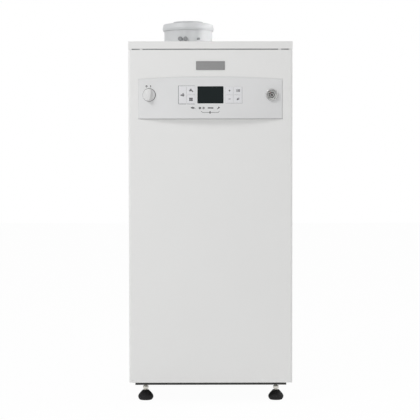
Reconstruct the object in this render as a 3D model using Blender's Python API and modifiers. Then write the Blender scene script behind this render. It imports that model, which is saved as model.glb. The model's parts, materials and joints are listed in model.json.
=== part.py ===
"""Floor standing condensing gas boiler.

A sheet steel casing on four levelling feet, a control fascia that tilts out of
the front panel, a flue collar on top, and the boiler body, burner, fan, gas
valve and pipes behind the panels.

Metres, +Z up. The front faces -Y. The origin is on the floor, under the middle
of the overall width and depth.
"""

import math

import bmesh
import bpy
from mathutils import Matrix, Vector

# Overall sizes
CASING_WIDTH = 0.570
CASING_DEPTH = 0.639
CASING_HEIGHT = 1.257
KNOB_REACH = 0.022
PIPE_REACH = 0.030

# Clearances and making
GAP = 0.0003
RUNNING_GAP = 0.0004
OVERRUN = 0.004
MERGE = 0.00001
SHARP_ANGLE = math.radians(35)

# Sheet steel
SHEET = 0.0012
FRAME_SHEET = 0.0015
CASING_BOTTOM = 0.062
SIDE_RETURN = 0.013
COVER_FOLD = 0.026
COVER_GAP = 0.0035
PANEL_RETURN = 0.020
PANEL_EDGE_RADIUS = 0.008
PANEL_CORNER_RADIUS = 0.006
BACK_RETURN = 0.015
PANEL_CLEARANCE = 0.001
PANEL_HEAD_CLEARANCE = 0.005

# Base tray and frame
TRAY_INSET = 0.020
TRAY_LIP_BOTTOM = 0.057
TRAY_HEIGHT = 0.018
BOSS_RADIUS = 0.011
BOSS_DEPTH = 0.008
POST_WIDTH = 0.0155
POST_DEPTH = 0.030
POST_INSET = 0.0005
RAIL_WIDTH = 0.035
PEG_WIDTH = 0.008
PEG_HEIGHT = 0.0025
PEG_REACH = 0.017
PEG_INSET = 0.045

# Levelling feet
FOOT_INSET = 0.055
FOOT_SETBACK = 0.058
PAD_RADIUS = 0.027
PAD_HEIGHT = 0.034
PAD_RIM_HEIGHT = 0.006
PAD_TOP_RADIUS = 0.012
PAD_SOCKET_DEPTH = 0.022
STUD_RADIUS = 0.006
STUD_TOP = 0.100
STUD_HEX_ACROSS = 0.019
STUD_HEX_LOW = 0.0355
STUD_HEX_HEIGHT = 0.009

# Control fascia
FASCIA_SIDE_MARGIN = 0.036
FASCIA_DROP = 0.268
FASCIA_END_RISE = 0.133
FASCIA_ARCH = 0.009
FASCIA_EDGE = 0.002
FASCIA_BULGE = 0.016
FASCIA_SIDE_POWER = 2.5
FASCIA_RISE_POWER = 1.6
FASCIA_WALL = 0.0025
FASCIA_SKIRT = 0.008
FASCIA_COLUMNS = 18
FASCIA_ROWS = 6
SEAT_STEPS = 24

# Display and keys on the fascia: low x, high x, low z, high z
CONTROL_RISE = 0.0824
DISPLAY_HALF_WIDTH = 0.045
DISPLAY_HALF_HEIGHT = 0.0297
WINDOW_SINK = 0.0003
WINDOW_DEPTH = 0.0025
KEY_GAP = 0.0015
KEY_PROUD = 0.0006
KEY_DEPTH = 0.004
KEY_TRAVEL = 0.0012
KEY_HALF_HEIGHT = 0.0305
MODE_KEY_LEFT = -0.1095
MODE_KEY_RIGHT = -0.0830
PAIR_KEYS_RIGHT = -0.0535
SQUARE_KEY = 0.0290
SQUARE_KEYS_LEFT = 0.0515

# Operator board behind the keys
BOARD = 0.0016
BOARD_HALF_WIDTH = 0.128
BOARD_MARGIN = 0.005
LCD_MARGIN = 0.004
BOARD_POST_RADIUS = 0.003
BOARD_POST_X = 0.121
BOARD_POST_RISE = 0.026

# Main switch and pressure gauge
DIAL_INSET = 0.036
SWITCH_RADIUS = 0.0215
SWITCH_EDGE = 0.0085
SWITCH_CROWN = 0.0125
SWITCH_RIDGE_WIDTH = 0.016
SWITCH_RIDGE_LENGTH = 0.0398
SWITCH_RIDGE_ROUND = 0.004
SWITCH_LEAN = math.radians(9.5)
SWITCH_FLANGE_RADIUS = 0.0250
SWITCH_FLANGE = 0.003
SWITCH_BODY_RADIUS = 0.0165
SWITCH_BODY_DEPTH = 0.035
GAUGE_RADIUS = 0.0210
GAUGE_REACH = 0.0110
GAUGE_LENS_RADIUS = 0.0183
GAUGE_LENS = 0.0015
GAUGE_LENS_SINK = 0.0030
GAUGE_DIAL_RADIUS = 0.0174
GAUGE_DIAL = 0.0010
GAUGE_DIAL_DEPTH = 0.0125
GAUGE_BODY_RADIUS = 0.0190
GAUGE_BODY_DEPTH = 0.029
NEEDLE_LENGTH = 0.0145
NEEDLE_TAIL = 0.0045
NEEDLE_WIDTH = 0.0016
NEEDLE = 0.0006
NEEDLE_HUB_RADIUS = 0.0026
NEEDLE_REST = math.radians(-35)

# Control box
BOX_HEIGHT = 0.105
BOX_DEPTH = 0.0617
BOX_SHEET = 0.0015
PCB_HALF_WIDTH = 0.160
PCB_HALF_HEIGHT = 0.042
PCB_STANDOFF = 0.008
PCB_STANDOFF_RADIUS = 0.004
PCB_BLOCK_WIDTH = 0.050
PCB_BLOCK_DEPTH = 0.026

# Boiler body
BODY_RADIUS = 0.170
BODY_SIDE_SPACE = 0.055
BODY_SETBACK = 0.2635
BODY_TOP_DROP = 0.357
BODY_PLATE = 0.004
BODY_SHELL = 0.003
FIREBOX_RADIUS = 0.116
FIREBOX_TOP_DROP = 0.030
BURNER_DOOR_RADIUS = 0.045
JACKET = 0.020
JACKET_MARGIN = 0.010
JACKET_SLOT = 0.036
STAND_TOP = 0.164
STAND_RING = 0.005
STAND_RING_INNER = 0.120
STAND_LEG = 0.024
STAND_LEG_PLACE = 0.104
SUMP_HEIGHT = 0.071
SUMP_WALL = 0.003
SUMP_BODY_MARGIN = 0.003
SUMP_TAIL_RADIUS = 0.068
SUMP_ARC_STEPS = 8

# Flue
FLUE_OFFSET = 0.143
FLUE_SETBACK = 0.1655
FLUE_JACKET_CLEARANCE = 0.014
RISER_RADIUS = 0.050
RISER_WALL = 0.002
RISER_SINK = 0.020
RISER_RISE = 0.030
SOCKET_RADIUS = 0.0560
SOCKET_WALL = 0.003
SOCKET_BOTTOM_DROP = 0.030
SOCKET_TOP_RISE = 0.107
SOCKET_LIP = 0.001
COLLAR_RADIUS = 0.0905
COLLAR_WALL = 0.005
COLLAR_BAND_RADIUS = 0.0970
COLLAR_BAND_LOW = 0.072
COLLAR_RISE = 0.098
COLLAR_ROUND = 0.005
COLLAR_FOOT_RADIUS = 0.0935
COLLAR_FOOT = 0.006
PORT_RADIUS = 0.0085
SMALL_PORT_RADIUS = 0.005
PORT_REACH = 0.012
PORT_RISE = 0.038
PORT_TURNS = (math.radians(-17), math.radians(-5))
SMALL_PORT_TURN = math.radians(24)
PORT_SIDES = 10

# Burner, fan and gas line
BURNER_RADIUS = 0.034
BURNER_LENGTH = 0.200
BURNER_WALL = 0.0015
BURNER_FLANGE_RADIUS = 0.062
BURNER_FLANGE = 0.003
HOOD_RADIUS = 0.110
HOOD_DOME_RADIUS = 0.086
HOOD_DOME_TOP_RADIUS = 0.079
HOOD_FLANGE = 0.008
HOOD_WALL = 0.005
HOOD_HEIGHT = 0.055
HOOD_NECK_RADIUS = 0.046
HOOD_BORE_RADIUS = 0.024
FAN_INNER_RADIUS = 0.080
FAN_GROWTH = 0.030
FAN_CUTOFF = math.radians(-42)
FAN_DEPTH = 0.070
FAN_WALL = 0.003
FAN_DROP = 0.105
FAN_STEPS = 24
FAN_INLET_RADIUS = 0.032
FAN_SHAFT_HOLE_RADIUS = 0.030
IMPELLER_RADIUS = 0.070
IMPELLER_WALL_GAP = 0.005
IMPELLER_PLATE = 0.003
IMPELLER_HUB_RADIUS = 0.014
IMPELLER_HUB_LENGTH = 0.022
IMPELLER_EYE_RADIUS = 0.036
BLADE_COUNT = 12
BLADE_WIDTH = 0.040
BLADE = 0.0018
BLADE_SWEEP = math.radians(38)
BLADE_STEPS = 3
MOTOR_FLANGE_RADIUS = 0.048
MOTOR_FLANGE = 0.004
MOTOR_RADIUS = 0.040
MOTOR_LENGTH = 0.058
SHAFT_RADIUS = 0.004
SHAFT_REACH = 0.020
VENTURI_RADIUS = 0.032
VENTURI_BORE_RADIUS = 0.026
VENTURI_THROAT_RADIUS = 0.018
VENTURI_LENGTH = 0.060
INTAKE_RADIUS = 0.026
INTAKE_WALL = 0.002
INTAKE_BEND = 0.042
INTAKE_DROP = 0.057
VALVE_WIDTH = 0.078
VALVE_DEPTH = 0.056
VALVE_HEIGHT = 0.070
VALVE_COIL_RADIUS = 0.016
VALVE_COIL_HEIGHT = 0.036
VALVE_COIL_PLACE = 0.017
VALVE_EDGE = 0.004
GAS_PIPE_RADIUS = 0.0135
GAS_PIPE_WALL = 0.0023
GAS_PIPE_INSET = 0.105
GAS_PIPE_BEND = 0.040

# Water pipes, drain and siphon
WATER_PIPE_RADIUS = 0.021
WATER_PIPE_WALL = 0.0026
WATER_PIPE_SINK = 0.001
FLOW_DROP = 0.050
RETURN_RISE = 0.0644
DRAIN_RISE = 0.0344
DRAIN_RADIUS = 0.008
DRAIN_NUT_RADIUS = 0.012
DRAIN_BORE_RADIUS = 0.004
DRAIN_REACH = 0.036
DRAIN_NUT_LENGTH = 0.014
DRAIN_BONNET_RADIUS = 0.006
DRAIN_BONNET_RISE = 0.018
DRAIN_STEM_BACK = 0.020
LEVER_LENGTH = 0.034
LEVER_WIDTH = 0.010
LEVER_THICKNESS = 0.003
LEVER_ROUND = 0.0012
SIPHON_OFFSET_X = 0.075
SIPHON_OFFSET_Y = 0.065
SIPHON_RADIUS = 0.030
SIPHON_SHOULDER = 0.012
SIPHON_NECK_RADIUS = 0.013
SIPHON_RISE = 0.070
SIPHON_BORE_RADIUS = 0.0085
SIPHON_SINK = 0.006
SIPHON_OUTLET_RADIUS = 0.012
SIPHON_OUTLET_WALL = 0.002
SIPHON_OUTLET_RISE = 0.040

# Places that follow from the sizes above
HALF_WIDTH = CASING_WIDTH / 2
FRONT = -(KNOB_REACH + CASING_DEPTH + PIPE_REACH) / 2 + KNOB_REACH
BACK = FRONT + CASING_DEPTH
PIPE_END = BACK + PIPE_REACH
COVER_BOTTOM = CASING_HEIGHT - COVER_FOLD
PANEL_TOP = COVER_BOTTOM - COVER_GAP
FRAME_FRONT = FRONT + PANEL_RETURN + GAP
FRAME_BACK = BACK - BACK_RETURN - GAP
TRAY_TOP = TRAY_LIP_BOTTOM + TRAY_HEIGHT
RAIL_BOTTOM = PANEL_TOP - SHEET - FRAME_SHEET
RAIL_TOP = CASING_HEIGHT - SHEET - GAP
RAIL_HALF = HALF_WIDTH - SIDE_RETURN - GAP
POST_OUTER = HALF_WIDTH - TRAY_INSET - POST_INSET
POST_INNER = POST_OUTER - POST_WIDTH
BOX_FRONT = FRONT + FASCIA_SKIRT + GAP
BOX_BACK = BOX_FRONT + BOX_DEPTH
FASCIA_HALF = HALF_WIDTH - FASCIA_SIDE_MARGIN
FASCIA_BASE = CASING_HEIGHT - FASCIA_DROP
CONTROL_LINE = FASCIA_BASE + CONTROL_RISE
DIAL_PLACE_X = FASCIA_HALF - DIAL_INSET
KEY_HOLE_GAP = RUNNING_GAP
BODY_X = HALF_WIDTH - BODY_SIDE_SPACE - BODY_RADIUS
BODY_Y = FRONT + BODY_SETBACK
BODY_TOP = CASING_HEIGHT - BODY_TOP_DROP
BODY_BACK = BODY_Y + BODY_RADIUS
BODY_FRONT = BODY_Y - BODY_RADIUS
SUMP_BOTTOM = STAND_TOP + GAP
SUMP_TOP = SUMP_BOTTOM + SUMP_HEIGHT
BODY_BOTTOM = SUMP_TOP + GAP
FLOW_Z = BODY_TOP - FLOW_DROP
RETURN_Z = BODY_BOTTOM + RETURN_RISE
DRAIN_Z = BODY_BOTTOM + DRAIN_RISE
FLUE_Y = BACK - FLUE_SETBACK
FLUE_REACH = BODY_RADIUS + JACKET + FLUE_JACKET_CLEARANCE + RISER_RADIUS
FLUE_X = BODY_X - max(FLUE_OFFSET, math.sqrt(max(FLUE_REACH**2 - (FLUE_Y - BODY_Y) ** 2, 0)))
HOOD_BOTTOM = BODY_TOP + GAP + BURNER_FLANGE + GAP
HOOD_TOP = HOOD_BOTTOM + HOOD_HEIGHT
FAN_OUTER_RADIUS = FAN_INNER_RADIUS + FAN_GROWTH
FAN_THROAT_X = FAN_INNER_RADIUS * math.cos(FAN_CUTOFF)
FAN_X = BODY_X - (FAN_THROAT_X + FAN_OUTER_RADIUS) / 2
FAN_Z = HOOD_TOP + GAP + FAN_DROP
FAN_FRONT = BODY_Y - FAN_DEPTH / 2
FAN_BACK = BODY_Y + FAN_DEPTH / 2
VENTURI_FRONT = FAN_FRONT - GAP - VENTURI_LENGTH
INTAKE_TOP = CASING_HEIGHT - INTAKE_DROP
GAS_PIPE_X = HALF_WIDTH - GAS_PIPE_INSET
SIPHON_X = BODY_X - SIPHON_OFFSET_X
SIPHON_Y = BODY_Y - SIPHON_OFFSET_Y
SIPHON_TOP = SUMP_BOTTOM + SIPHON_SINK

# Colour, roughness and metallic value of each finish
FINISHES = {
    "white_powder_coat": ((0.76, 0.76, 0.75), 0.42, 0.0),
    "fascia_plastic": ((0.67, 0.67, 0.67), 0.45, 0.0),
    "key_plastic": ((0.60, 0.60, 0.60), 0.50, 0.0),
    "knob_plastic": ((0.70, 0.70, 0.70), 0.38, 0.0),
    "black_plastic": ((0.02, 0.02, 0.02), 0.50, 0.0),
    "foot_rubber": ((0.02, 0.02, 0.021), 0.65, 0.0),
    "window_glass": ((0.014, 0.022, 0.021), 0.10, 0.0),
    "clear_glass": ((0.80, 0.82, 0.82), 0.05, 0.0),
    "dial_enamel": ((0.09, 0.09, 0.09), 0.55, 0.0),
    "needle_red": ((0.60, 0.03, 0.02), 0.45, 0.0),
    "gauge_chrome": ((0.62, 0.62, 0.62), 0.22, 1.0),
    "base_paint": ((0.06, 0.06, 0.06), 0.55, 0.0),
    "galvanised": ((0.55, 0.57, 0.58), 0.42, 0.9),
    "zinc": ((0.60, 0.59, 0.54), 0.35, 0.9),
    "boiler_steel": ((0.52, 0.52, 0.51), 0.38, 0.9),
    "cast_aluminium": ((0.58, 0.58, 0.57), 0.50, 0.8),
    "pipe_steel": ((0.45, 0.45, 0.45), 0.42, 0.9),
    "valve_brass": ((0.72, 0.52, 0.22), 0.35, 0.9),
    "flue_plastic": ((0.64, 0.66, 0.68), 0.48, 0.0),
    "grey_foam": ((0.20, 0.20, 0.21), 0.85, 0.0),
    "board_green": ((0.03, 0.16, 0.06), 0.50, 0.0),
    "siphon_plastic": ((0.30, 0.30, 0.31), 0.50, 0.0),
}


def clear_scene():
    for old in list(bpy.data.objects):
        bpy.data.objects.remove(old, do_unlink=True)


def new_collection(name):
    made = bpy.data.collections.new(name)
    bpy.context.scene.collection.children.link(made)
    return made


def new_material(name, colour, roughness, metallic):
    made = bpy.data.materials.new(name)
    made.use_nodes = True
    shader = made.node_tree.nodes["Principled BSDF"]
    shader.inputs["Base Color"].default_value = (*colour, 1.0)
    shader.inputs["Roughness"].default_value = roughness
    shader.inputs["Metallic"].default_value = metallic
    return made


clear_scene()
PARTS = new_collection("floor_standing_gas_boiler")
CUTTERS = new_collection("cutters")
MATERIALS = {name: new_material(name, *values) for name, values in FINISHES.items()}


def mesh_from(shape, name):
    """Writes the bmesh to a new mesh, with its round stretches shaded smooth."""
    mesh = bpy.data.meshes.new(name)
    shape.to_mesh(mesh)
    shape.free()
    mesh.shade_smooth()
    mesh.set_sharp_from_angle(angle=SHARP_ANGLE)
    return mesh


def add_part(name, mesh, finish, place=(0, 0, 0), turn=(0, 0, 0)):
    made = bpy.data.objects.new(name, mesh)
    made.location = place
    made.rotation_euler = turn
    mesh.materials.append(MATERIALS[finish])
    PARTS.objects.link(made)
    return made


def hide_tool(tool):
    for home in list(tool.users_collection):
        home.objects.unlink(tool)
    CUTTERS.objects.link(tool)
    tool.hide_render = True
    tool.display_type = "WIRE"
    return tool


def tool_from(mesh, name):
    return hide_tool(bpy.data.objects.new(name, mesh))


def use_tool(part, tool, operation):
    boolean = part.modifiers.new(tool.name, "BOOLEAN")
    boolean.operation = operation
    boolean.solver = "EXACT"
    boolean.object = hide_tool(tool)


def cut(part, *tools):
    for tool in tools:
        use_tool(part, tool, "DIFFERENCE")


def fuse(part, *tools):
    for tool in tools:
        use_tool(part, tool, "UNION")


def block_shape(low, high):
    low, high = Vector(low), Vector(high)
    shape = bmesh.new()
    place = Matrix.Translation((low + high) / 2)
    bmesh.ops.create_cube(shape, size=1, matrix=place @ Matrix.Diagonal((*(high - low), 1)))
    shape.normal_update()
    return shape


def round_edges(shape, edges, radius, segments):
    bmesh.ops.bevel(
        shape, geom=edges, offset=radius, segments=segments, profile=0.5, affect="EDGES"
    )


def block(low, high, name, radius=0, segments=2):
    """A block mesh; a radius rounds all of its edges."""
    shape = block_shape(low, high)
    if radius:
        round_edges(shape, shape.edges[:], radius, segments)
    return mesh_from(shape, name)


def rod(start, end, radius, name, sides=24):
    """A cylinder mesh from start to end."""
    start, end = Vector(start), Vector(end)
    run = end - start
    place = Matrix.Translation((start + end) / 2) @ run.to_track_quat("Z", "Y").to_matrix().to_4x4()
    shape = bmesh.new()
    bmesh.ops.create_cone(
        shape,
        cap_ends=True,
        segments=sides,
        radius1=radius,
        radius2=radius,
        depth=run.length,
        matrix=place,
    )
    return mesh_from(shape, name)


def prism(outline, rise, name):
    """A closed outline of 3-D points, pushed along the vector rise."""
    shape = bmesh.new()
    face = shape.faces.new([shape.verts.new(point) for point in outline])
    pushed = bmesh.ops.extrude_face_region(shape, geom=[face])["geom"]
    moved = [item for item in pushed if isinstance(item, bmesh.types.BMVert)]
    bmesh.ops.translate(shape, verts=moved, vec=Vector(rise))
    bmesh.ops.recalc_face_normals(shape, faces=shape.faces[:])
    return mesh_from(shape, name)


def solidify(part, wall):
    sheet = part.modifiers.new("Sheet", "SOLIDIFY")
    sheet.thickness = wall
    sheet.offset = -1
    sheet.use_even_offset = True


def pan(name, low, high, open_sides, wall, finish, round_off=()):
    """Folded sheet metal: a block's skin without its open sides, wall thick inwards.

    round_off holds (test, radius, segments) for the folds to round first."""
    shape = block_shape(low, high)
    for test, radius, segments in round_off:
        round_edges(shape, [e for e in shape.edges if test(e)], radius, segments)
    shape.normal_update()
    gone = [f for f in shape.faces if any(f.normal.dot(Vector(s)) > 0.99 for s in open_sides)]
    bmesh.ops.delete(shape, geom=gone, context="FACES")
    part = add_part(name, mesh_from(shape, name), finish)
    solidify(part, wall)
    return part


def turned(name, profiles, finish, place, turn, steps):
    """A turned piece. Each profile is (points, closed), with points as (radius, height)."""
    shape = bmesh.new()
    for points, closed in profiles:
        verts = [shape.verts.new((radius, 0, height)) for radius, height in points]
        for one, other in zip(verts, verts[1:] + verts[:1] if closed else verts[1:]):
            shape.edges.new((one, other))
    mesh = bpy.data.meshes.new(name)
    shape.to_mesh(mesh)
    shape.free()
    part = add_part(name, mesh, finish, place, turn)
    screw = part.modifiers.new("Turn", "SCREW")
    screw.steps = screw.render_steps = steps
    screw.use_merge_vertices = True
    screw.merge_threshold = MERGE
    screw.use_smooth_shade = True
    return part


def turned_up(name, points, finish, x, y, steps=32, closed=False, hollow=()):
    """Turned about a vertical axis at x, y. Heights are heights above the floor."""
    profiles = [(points, closed)] + [(hollow, True)] * bool(hollow)
    return turned(name, profiles, finish, (x, y, 0), (0, 0, 0), steps)


def turned_front(name, points, finish, x, z, steps=32, closed=False):
    """Turned about an axis that points forward at x, z. Each point is (radius, y)."""
    flipped = [(radius, -y) for radius, y in points]
    return turned(name, [(flipped, closed)], finish, (x, 0, z), (math.radians(90), 0, 0), steps)


def ring(outer, inner, low, high):
    """The profile of a plain tube or ring, for turned_up."""
    return [(outer, high), (outer, low), (inner, low), (inner, high)]


def bend_path(corners, radius, steps):
    """The points of a path through corners, with each inner corner rounded."""
    corners = [Vector(c) for c in corners]
    path = [corners[0]]
    for before, corner, after in zip(corners, corners[1:], corners[2:]):
        back, ahead = (before - corner).normalized(), (after - corner).normalized()
        half = back.angle(ahead) / 2
        centre = corner + (back + ahead).normalized() * radius / math.sin(half)
        start = corner + back * radius / math.tan(half) - centre
        end = corner + ahead * radius / math.tan(half) - centre
        swing = start.angle(end)
        for i in range(steps + 1):
            share = i / steps
            near = math.sin((1 - share) * swing) / math.sin(swing)
            far = math.sin(share * swing) / math.sin(swing)
            path.append(centre + start * near + end * far)
    return path + [corners[-1]]


def bent_tube(name, corners, bend, radius, wall, finish, steps=6):
    """A hollow pipe with open ends along the rounded path."""
    curve = bpy.data.curves.new(name, "CURVE")
    curve.dimensions = "3D"
    curve.bevel_depth = radius
    curve.bevel_resolution = 2
    path = bend_path(corners, bend, steps)
    spline = curve.splines.new("POLY")
    spline.points.add(len(path) - 1)
    for point, place in zip(spline.points, path):
        point.co = (*place, 1)
    guide = bpy.data.objects.new(name + "_guide", curve)
    CUTTERS.objects.link(guide)
    graph = bpy.context.evaluated_depsgraph_get()
    mesh = bpy.data.meshes.new_from_object(guide.evaluated_get(graph))
    bpy.data.objects.remove(guide)
    shape = bmesh.new()
    shape.from_mesh(mesh)
    bmesh.ops.remove_doubles(shape, verts=shape.verts[:], dist=MERGE)
    shape.faces.ensure_lookup_table()
    outward = shape.faces[0].calc_center_median() - path[0]
    outward -= (path[1] - path[0]).normalized() * outward.dot((path[1] - path[0]).normalized())
    if shape.faces[0].normal.dot(outward) < 0:
        bmesh.ops.reverse_faces(shape, faces=shape.faces[:])
    part = add_part(name, mesh_from(shape, name), finish)
    solidify(part, wall)
    return part


def fascia_top(x):
    """Height of the fascia's arched top edge at x."""
    return FASCIA_BASE + FASCIA_END_RISE + FASCIA_ARCH * (1 - (x / FASCIA_HALF) ** 2)


def fascia_reach(x, z):
    """How far the fascia's skin stands in front of the front panel at x, z."""
    across = 1 - min(abs(x / FASCIA_HALF), 1) ** FASCIA_SIDE_POWER
    up = min(max((z - FASCIA_BASE) / (fascia_top(x) - FASCIA_BASE), 0), 1)
    return FASCIA_EDGE + FASCIA_BULGE * across * (1 - up**FASCIA_RISE_POWER)


def fascia_opening_outline(y):
    """The fascia's outline, grown by the panel's clearances, as points at depth y."""
    half = FASCIA_HALF + PANEL_CLEARANCE
    low = FASCIA_BASE - PANEL_CLEARANCE
    xs = [half - 2 * half * i / FASCIA_COLUMNS for i in range(FASCIA_COLUMNS + 1)]
    arch = [(x, y, fascia_top(x * FASCIA_HALF / half) + PANEL_HEAD_CLEARANCE) for x in xs]
    return [(-half, y, low), (half, y, low)] + arch


def insert_seat(x, z, radius):
    """The y just behind the fascia's inner skin, all round a round insert at x, z."""
    turns = [2 * math.pi * i / SEAT_STEPS for i in range(SEAT_STEPS)]
    reaches = [fascia_reach(x + radius * math.cos(a), z + radius * math.sin(a)) for a in turns]
    return FRONT - min(reaches) + FASCIA_WALL + GAP


def skin_patch(name, low_x, high_x, low_z, high_z, proud, depth, finish, cells=4):
    """A solid whose front follows the fascia's skin, proud of it, and depth thick."""
    shape = bmesh.new()
    bmesh.ops.create_grid(shape, x_segments=cells, y_segments=cells, size=1)
    for vert in shape.verts:
        x = (low_x + high_x) / 2 + vert.co.x * (high_x - low_x) / 2
        z = (low_z + high_z) / 2 + vert.co.y * (high_z - low_z) / 2
        vert.co = (x, FRONT - fascia_reach(x, z) - proud, z)
    pushed = bmesh.ops.extrude_face_region(shape, geom=shape.faces[:])["geom"]
    moved = [item for item in pushed if isinstance(item, bmesh.types.BMVert)]
    bmesh.ops.translate(shape, verts=moved, vec=Vector((0, depth, 0)))
    bmesh.ops.recalc_face_normals(shape, faces=shape.faces[:])
    return add_part(name, mesh_from(shape, name), finish)


def fascia_hole(name, low_x, high_x, low_z, high_z):
    low = (low_x - KEY_HOLE_GAP, FRONT - KNOB_REACH, low_z - KEY_HOLE_GAP)
    high = (high_x + KEY_HOLE_GAP, FRONT + FASCIA_SKIRT, high_z + KEY_HOLE_GAP)
    return tool_from(block(low, high, name), name)


def key_places():
    """Name and (low x, high x, low z, high z) of each key."""
    low, high = CONTROL_LINE - KEY_HALF_HEIGHT, CONTROL_LINE + KEY_HALF_HEIGHT
    pair_left = MODE_KEY_RIGHT + KEY_GAP
    places = {
        "mode_key": (MODE_KEY_LEFT, MODE_KEY_RIGHT, low, high),
        "hot_water_key": (pair_left, PAIR_KEYS_RIGHT, CONTROL_LINE + KEY_GAP / 2, high),
        "heating_key": (pair_left, PAIR_KEYS_RIGHT, low, CONTROL_LINE - KEY_GAP / 2),
    }
    squares = ("minus_key", "enter_key", "plus_key", "menu_key")
    for i, name in enumerate(squares):
        left = SQUARE_KEYS_LEFT + (i % 2) * SQUARE_KEY
        base = CONTROL_LINE + (i // 2 - 1) * SQUARE_KEY
        places[name] = (
            left + KEY_GAP / 2,
            left + SQUARE_KEY - KEY_GAP / 2,
            base + KEY_GAP / 2,
            base + SQUARE_KEY - KEY_GAP / 2,
        )
    return places


def foot_places():
    """Name ending and x, y of each levelling foot."""
    side = HALF_WIDTH - FOOT_INSET
    front, back = FRONT + FOOT_SETBACK, BACK - FOOT_SETBACK
    return {
        "front_left": (-side, front),
        "front_right": (side, front),
        "rear_left": (-side, back),
        "rear_right": (side, back),
    }


def make_base_tray():
    half = HALF_WIDTH - TRAY_INSET
    low, high = (-half, FRAME_FRONT, TRAY_LIP_BOTTOM), (half, FRAME_BACK, TRAY_TOP)
    tray = pan("base_tray", low, high, [(0, 0, -1)], FRAME_SHEET, "base_paint")
    for corner, (x, y) in foot_places().items():
        plate = TRAY_TOP - FRAME_SHEET
        boss = rod((x, y, plate - BOSS_DEPTH), (x, y, TRAY_TOP - FRAME_SHEET / 2), BOSS_RADIUS, corner, 12)
        fuse(tray, tool_from(boss, "tray_boss_" + corner))
        hole = rod((x, y, 0), (x, y, TRAY_TOP + OVERRUN), STUD_RADIUS + GAP, corner, 12)
        cut(tray, tool_from(hole, "tray_hole_" + corner))


def make_foot_pads():
    socket = STUD_RADIUS + GAP
    floor = PAD_HEIGHT - PAD_SOCKET_DEPTH
    flare = PAD_RADIUS - PAD_TOP_RADIUS
    rise = PAD_HEIGHT - PAD_RIM_HEIGHT
    profile = [(0, floor), (socket, floor), (socket, PAD_HEIGHT), (PAD_TOP_RADIUS, PAD_HEIGHT)]
    for drop_share, flare_share in ((0.30, 0.08), (0.65, 0.40), (0.88, 0.85)):
        profile.append((PAD_TOP_RADIUS + flare * flare_share, PAD_HEIGHT - rise * drop_share))
    profile += [(PAD_RADIUS, PAD_RIM_HEIGHT), (PAD_RADIUS, 0), (0, 0)]
    for corner, (x, y) in foot_places().items():
        turned_up("foot_pad_" + corner, profile, "foot_rubber", x, y, steps=16)


def make_foot_studs():
    bottom = PAD_HEIGHT - PAD_SOCKET_DEPTH + GAP
    hex_radius = STUD_HEX_ACROSS / 2 / math.cos(math.pi / 6)
    for corner, (x, y) in foot_places().items():
        name = "foot_stud_" + corner
        stud = add_part(name, rod((0, 0, bottom), (0, 0, STUD_TOP), STUD_RADIUS, name, 12), "zinc", (x, y, 0))
        hex_top = STUD_HEX_LOW + STUD_HEX_HEIGHT
        nut = tool_from(rod((0, 0, STUD_HEX_LOW), (0, 0, hex_top), hex_radius, name, 6), name + "_hex")
        nut.location = (x, y, 0)
        fuse(stud, nut)


def make_corner_posts():
    sides = {"left": -1, "right": 1}
    ends = {"front": (-1, FRAME_FRONT + POST_INSET), "rear": (1, FRAME_BACK - POST_INSET)}
    for end, (way, face) in ends.items():
        for side, hand in sides.items():
            xs = sorted((hand * POST_OUTER, hand * POST_INNER))
            ys = sorted((face, face - way * POST_DEPTH))
            low, high = (xs[0], ys[0], TRAY_TOP + GAP), (xs[1], ys[1], RAIL_BOTTOM - GAP)
            open_sides = [(-hand, 0, 0), (0, -way, 0), (0, 0, 1), (0, 0, -1)]
            pan(f"{end}_{side}_post", low, high, open_sides, FRAME_SHEET, "galvanised")


def make_top_rails():
    low = (-RAIL_HALF, FRAME_FRONT, RAIL_BOTTOM)
    high = (RAIL_HALF, FRAME_FRONT + RAIL_WIDTH, RAIL_TOP)
    rail = pan("top_front_rail", low, high, [(0, 1, 0)], FRAME_SHEET, "galvanised")
    for hand in (-1, 1):
        middle = hand * (HALF_WIDTH - PEG_INSET)
        base = PANEL_TOP + GAP
        peg_low = (middle - PEG_WIDTH / 2, FRAME_FRONT - PEG_REACH, base)
        peg_high = (middle + PEG_WIDTH / 2, FRAME_FRONT + FRAME_SHEET / 2, base + PEG_HEIGHT)
        fuse(rail, tool_from(block(peg_low, peg_high, "peg"), f"peg_{hand}"))
    low = (-RAIL_HALF, FRAME_BACK - RAIL_WIDTH, RAIL_BOTTOM)
    high = (RAIL_HALF, FRAME_BACK, RAIL_TOP)
    pan("top_rear_rail", low, high, [(0, -1, 0)], FRAME_SHEET, "galvanised")


def make_side_panels():
    """Each side panel is open to the inside and to the rear."""
    top = COVER_BOTTOM - GAP
    for side, hand in (("left", -1), ("right", 1)):
        xs = sorted((hand * HALF_WIDTH, hand * (HALF_WIDTH - SIDE_RETURN)))
        low, high = (xs[0], FRAME_FRONT, CASING_BOTTOM), (xs[1], BACK, top)
        open_sides = [(-hand, 0, 0), (0, 1, 0)]
        panel = pan(f"{side}_side_panel", low, high, open_sides, SHEET, "white_powder_coat")
        inner = hand * (HALF_WIDTH - TRAY_INSET + GAP)
        edge = hand * (HALF_WIDTH - SHEET / 2)
        xs = sorted((inner, edge))
        flange_low = (xs[0], FRAME_FRONT, CASING_BOTTOM)
        flange_high = (xs[1], FRAME_BACK, CASING_BOTTOM + SHEET)
        fuse(panel, tool_from(block(flange_low, flange_high, "flange"), f"{side}_flange"))


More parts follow.
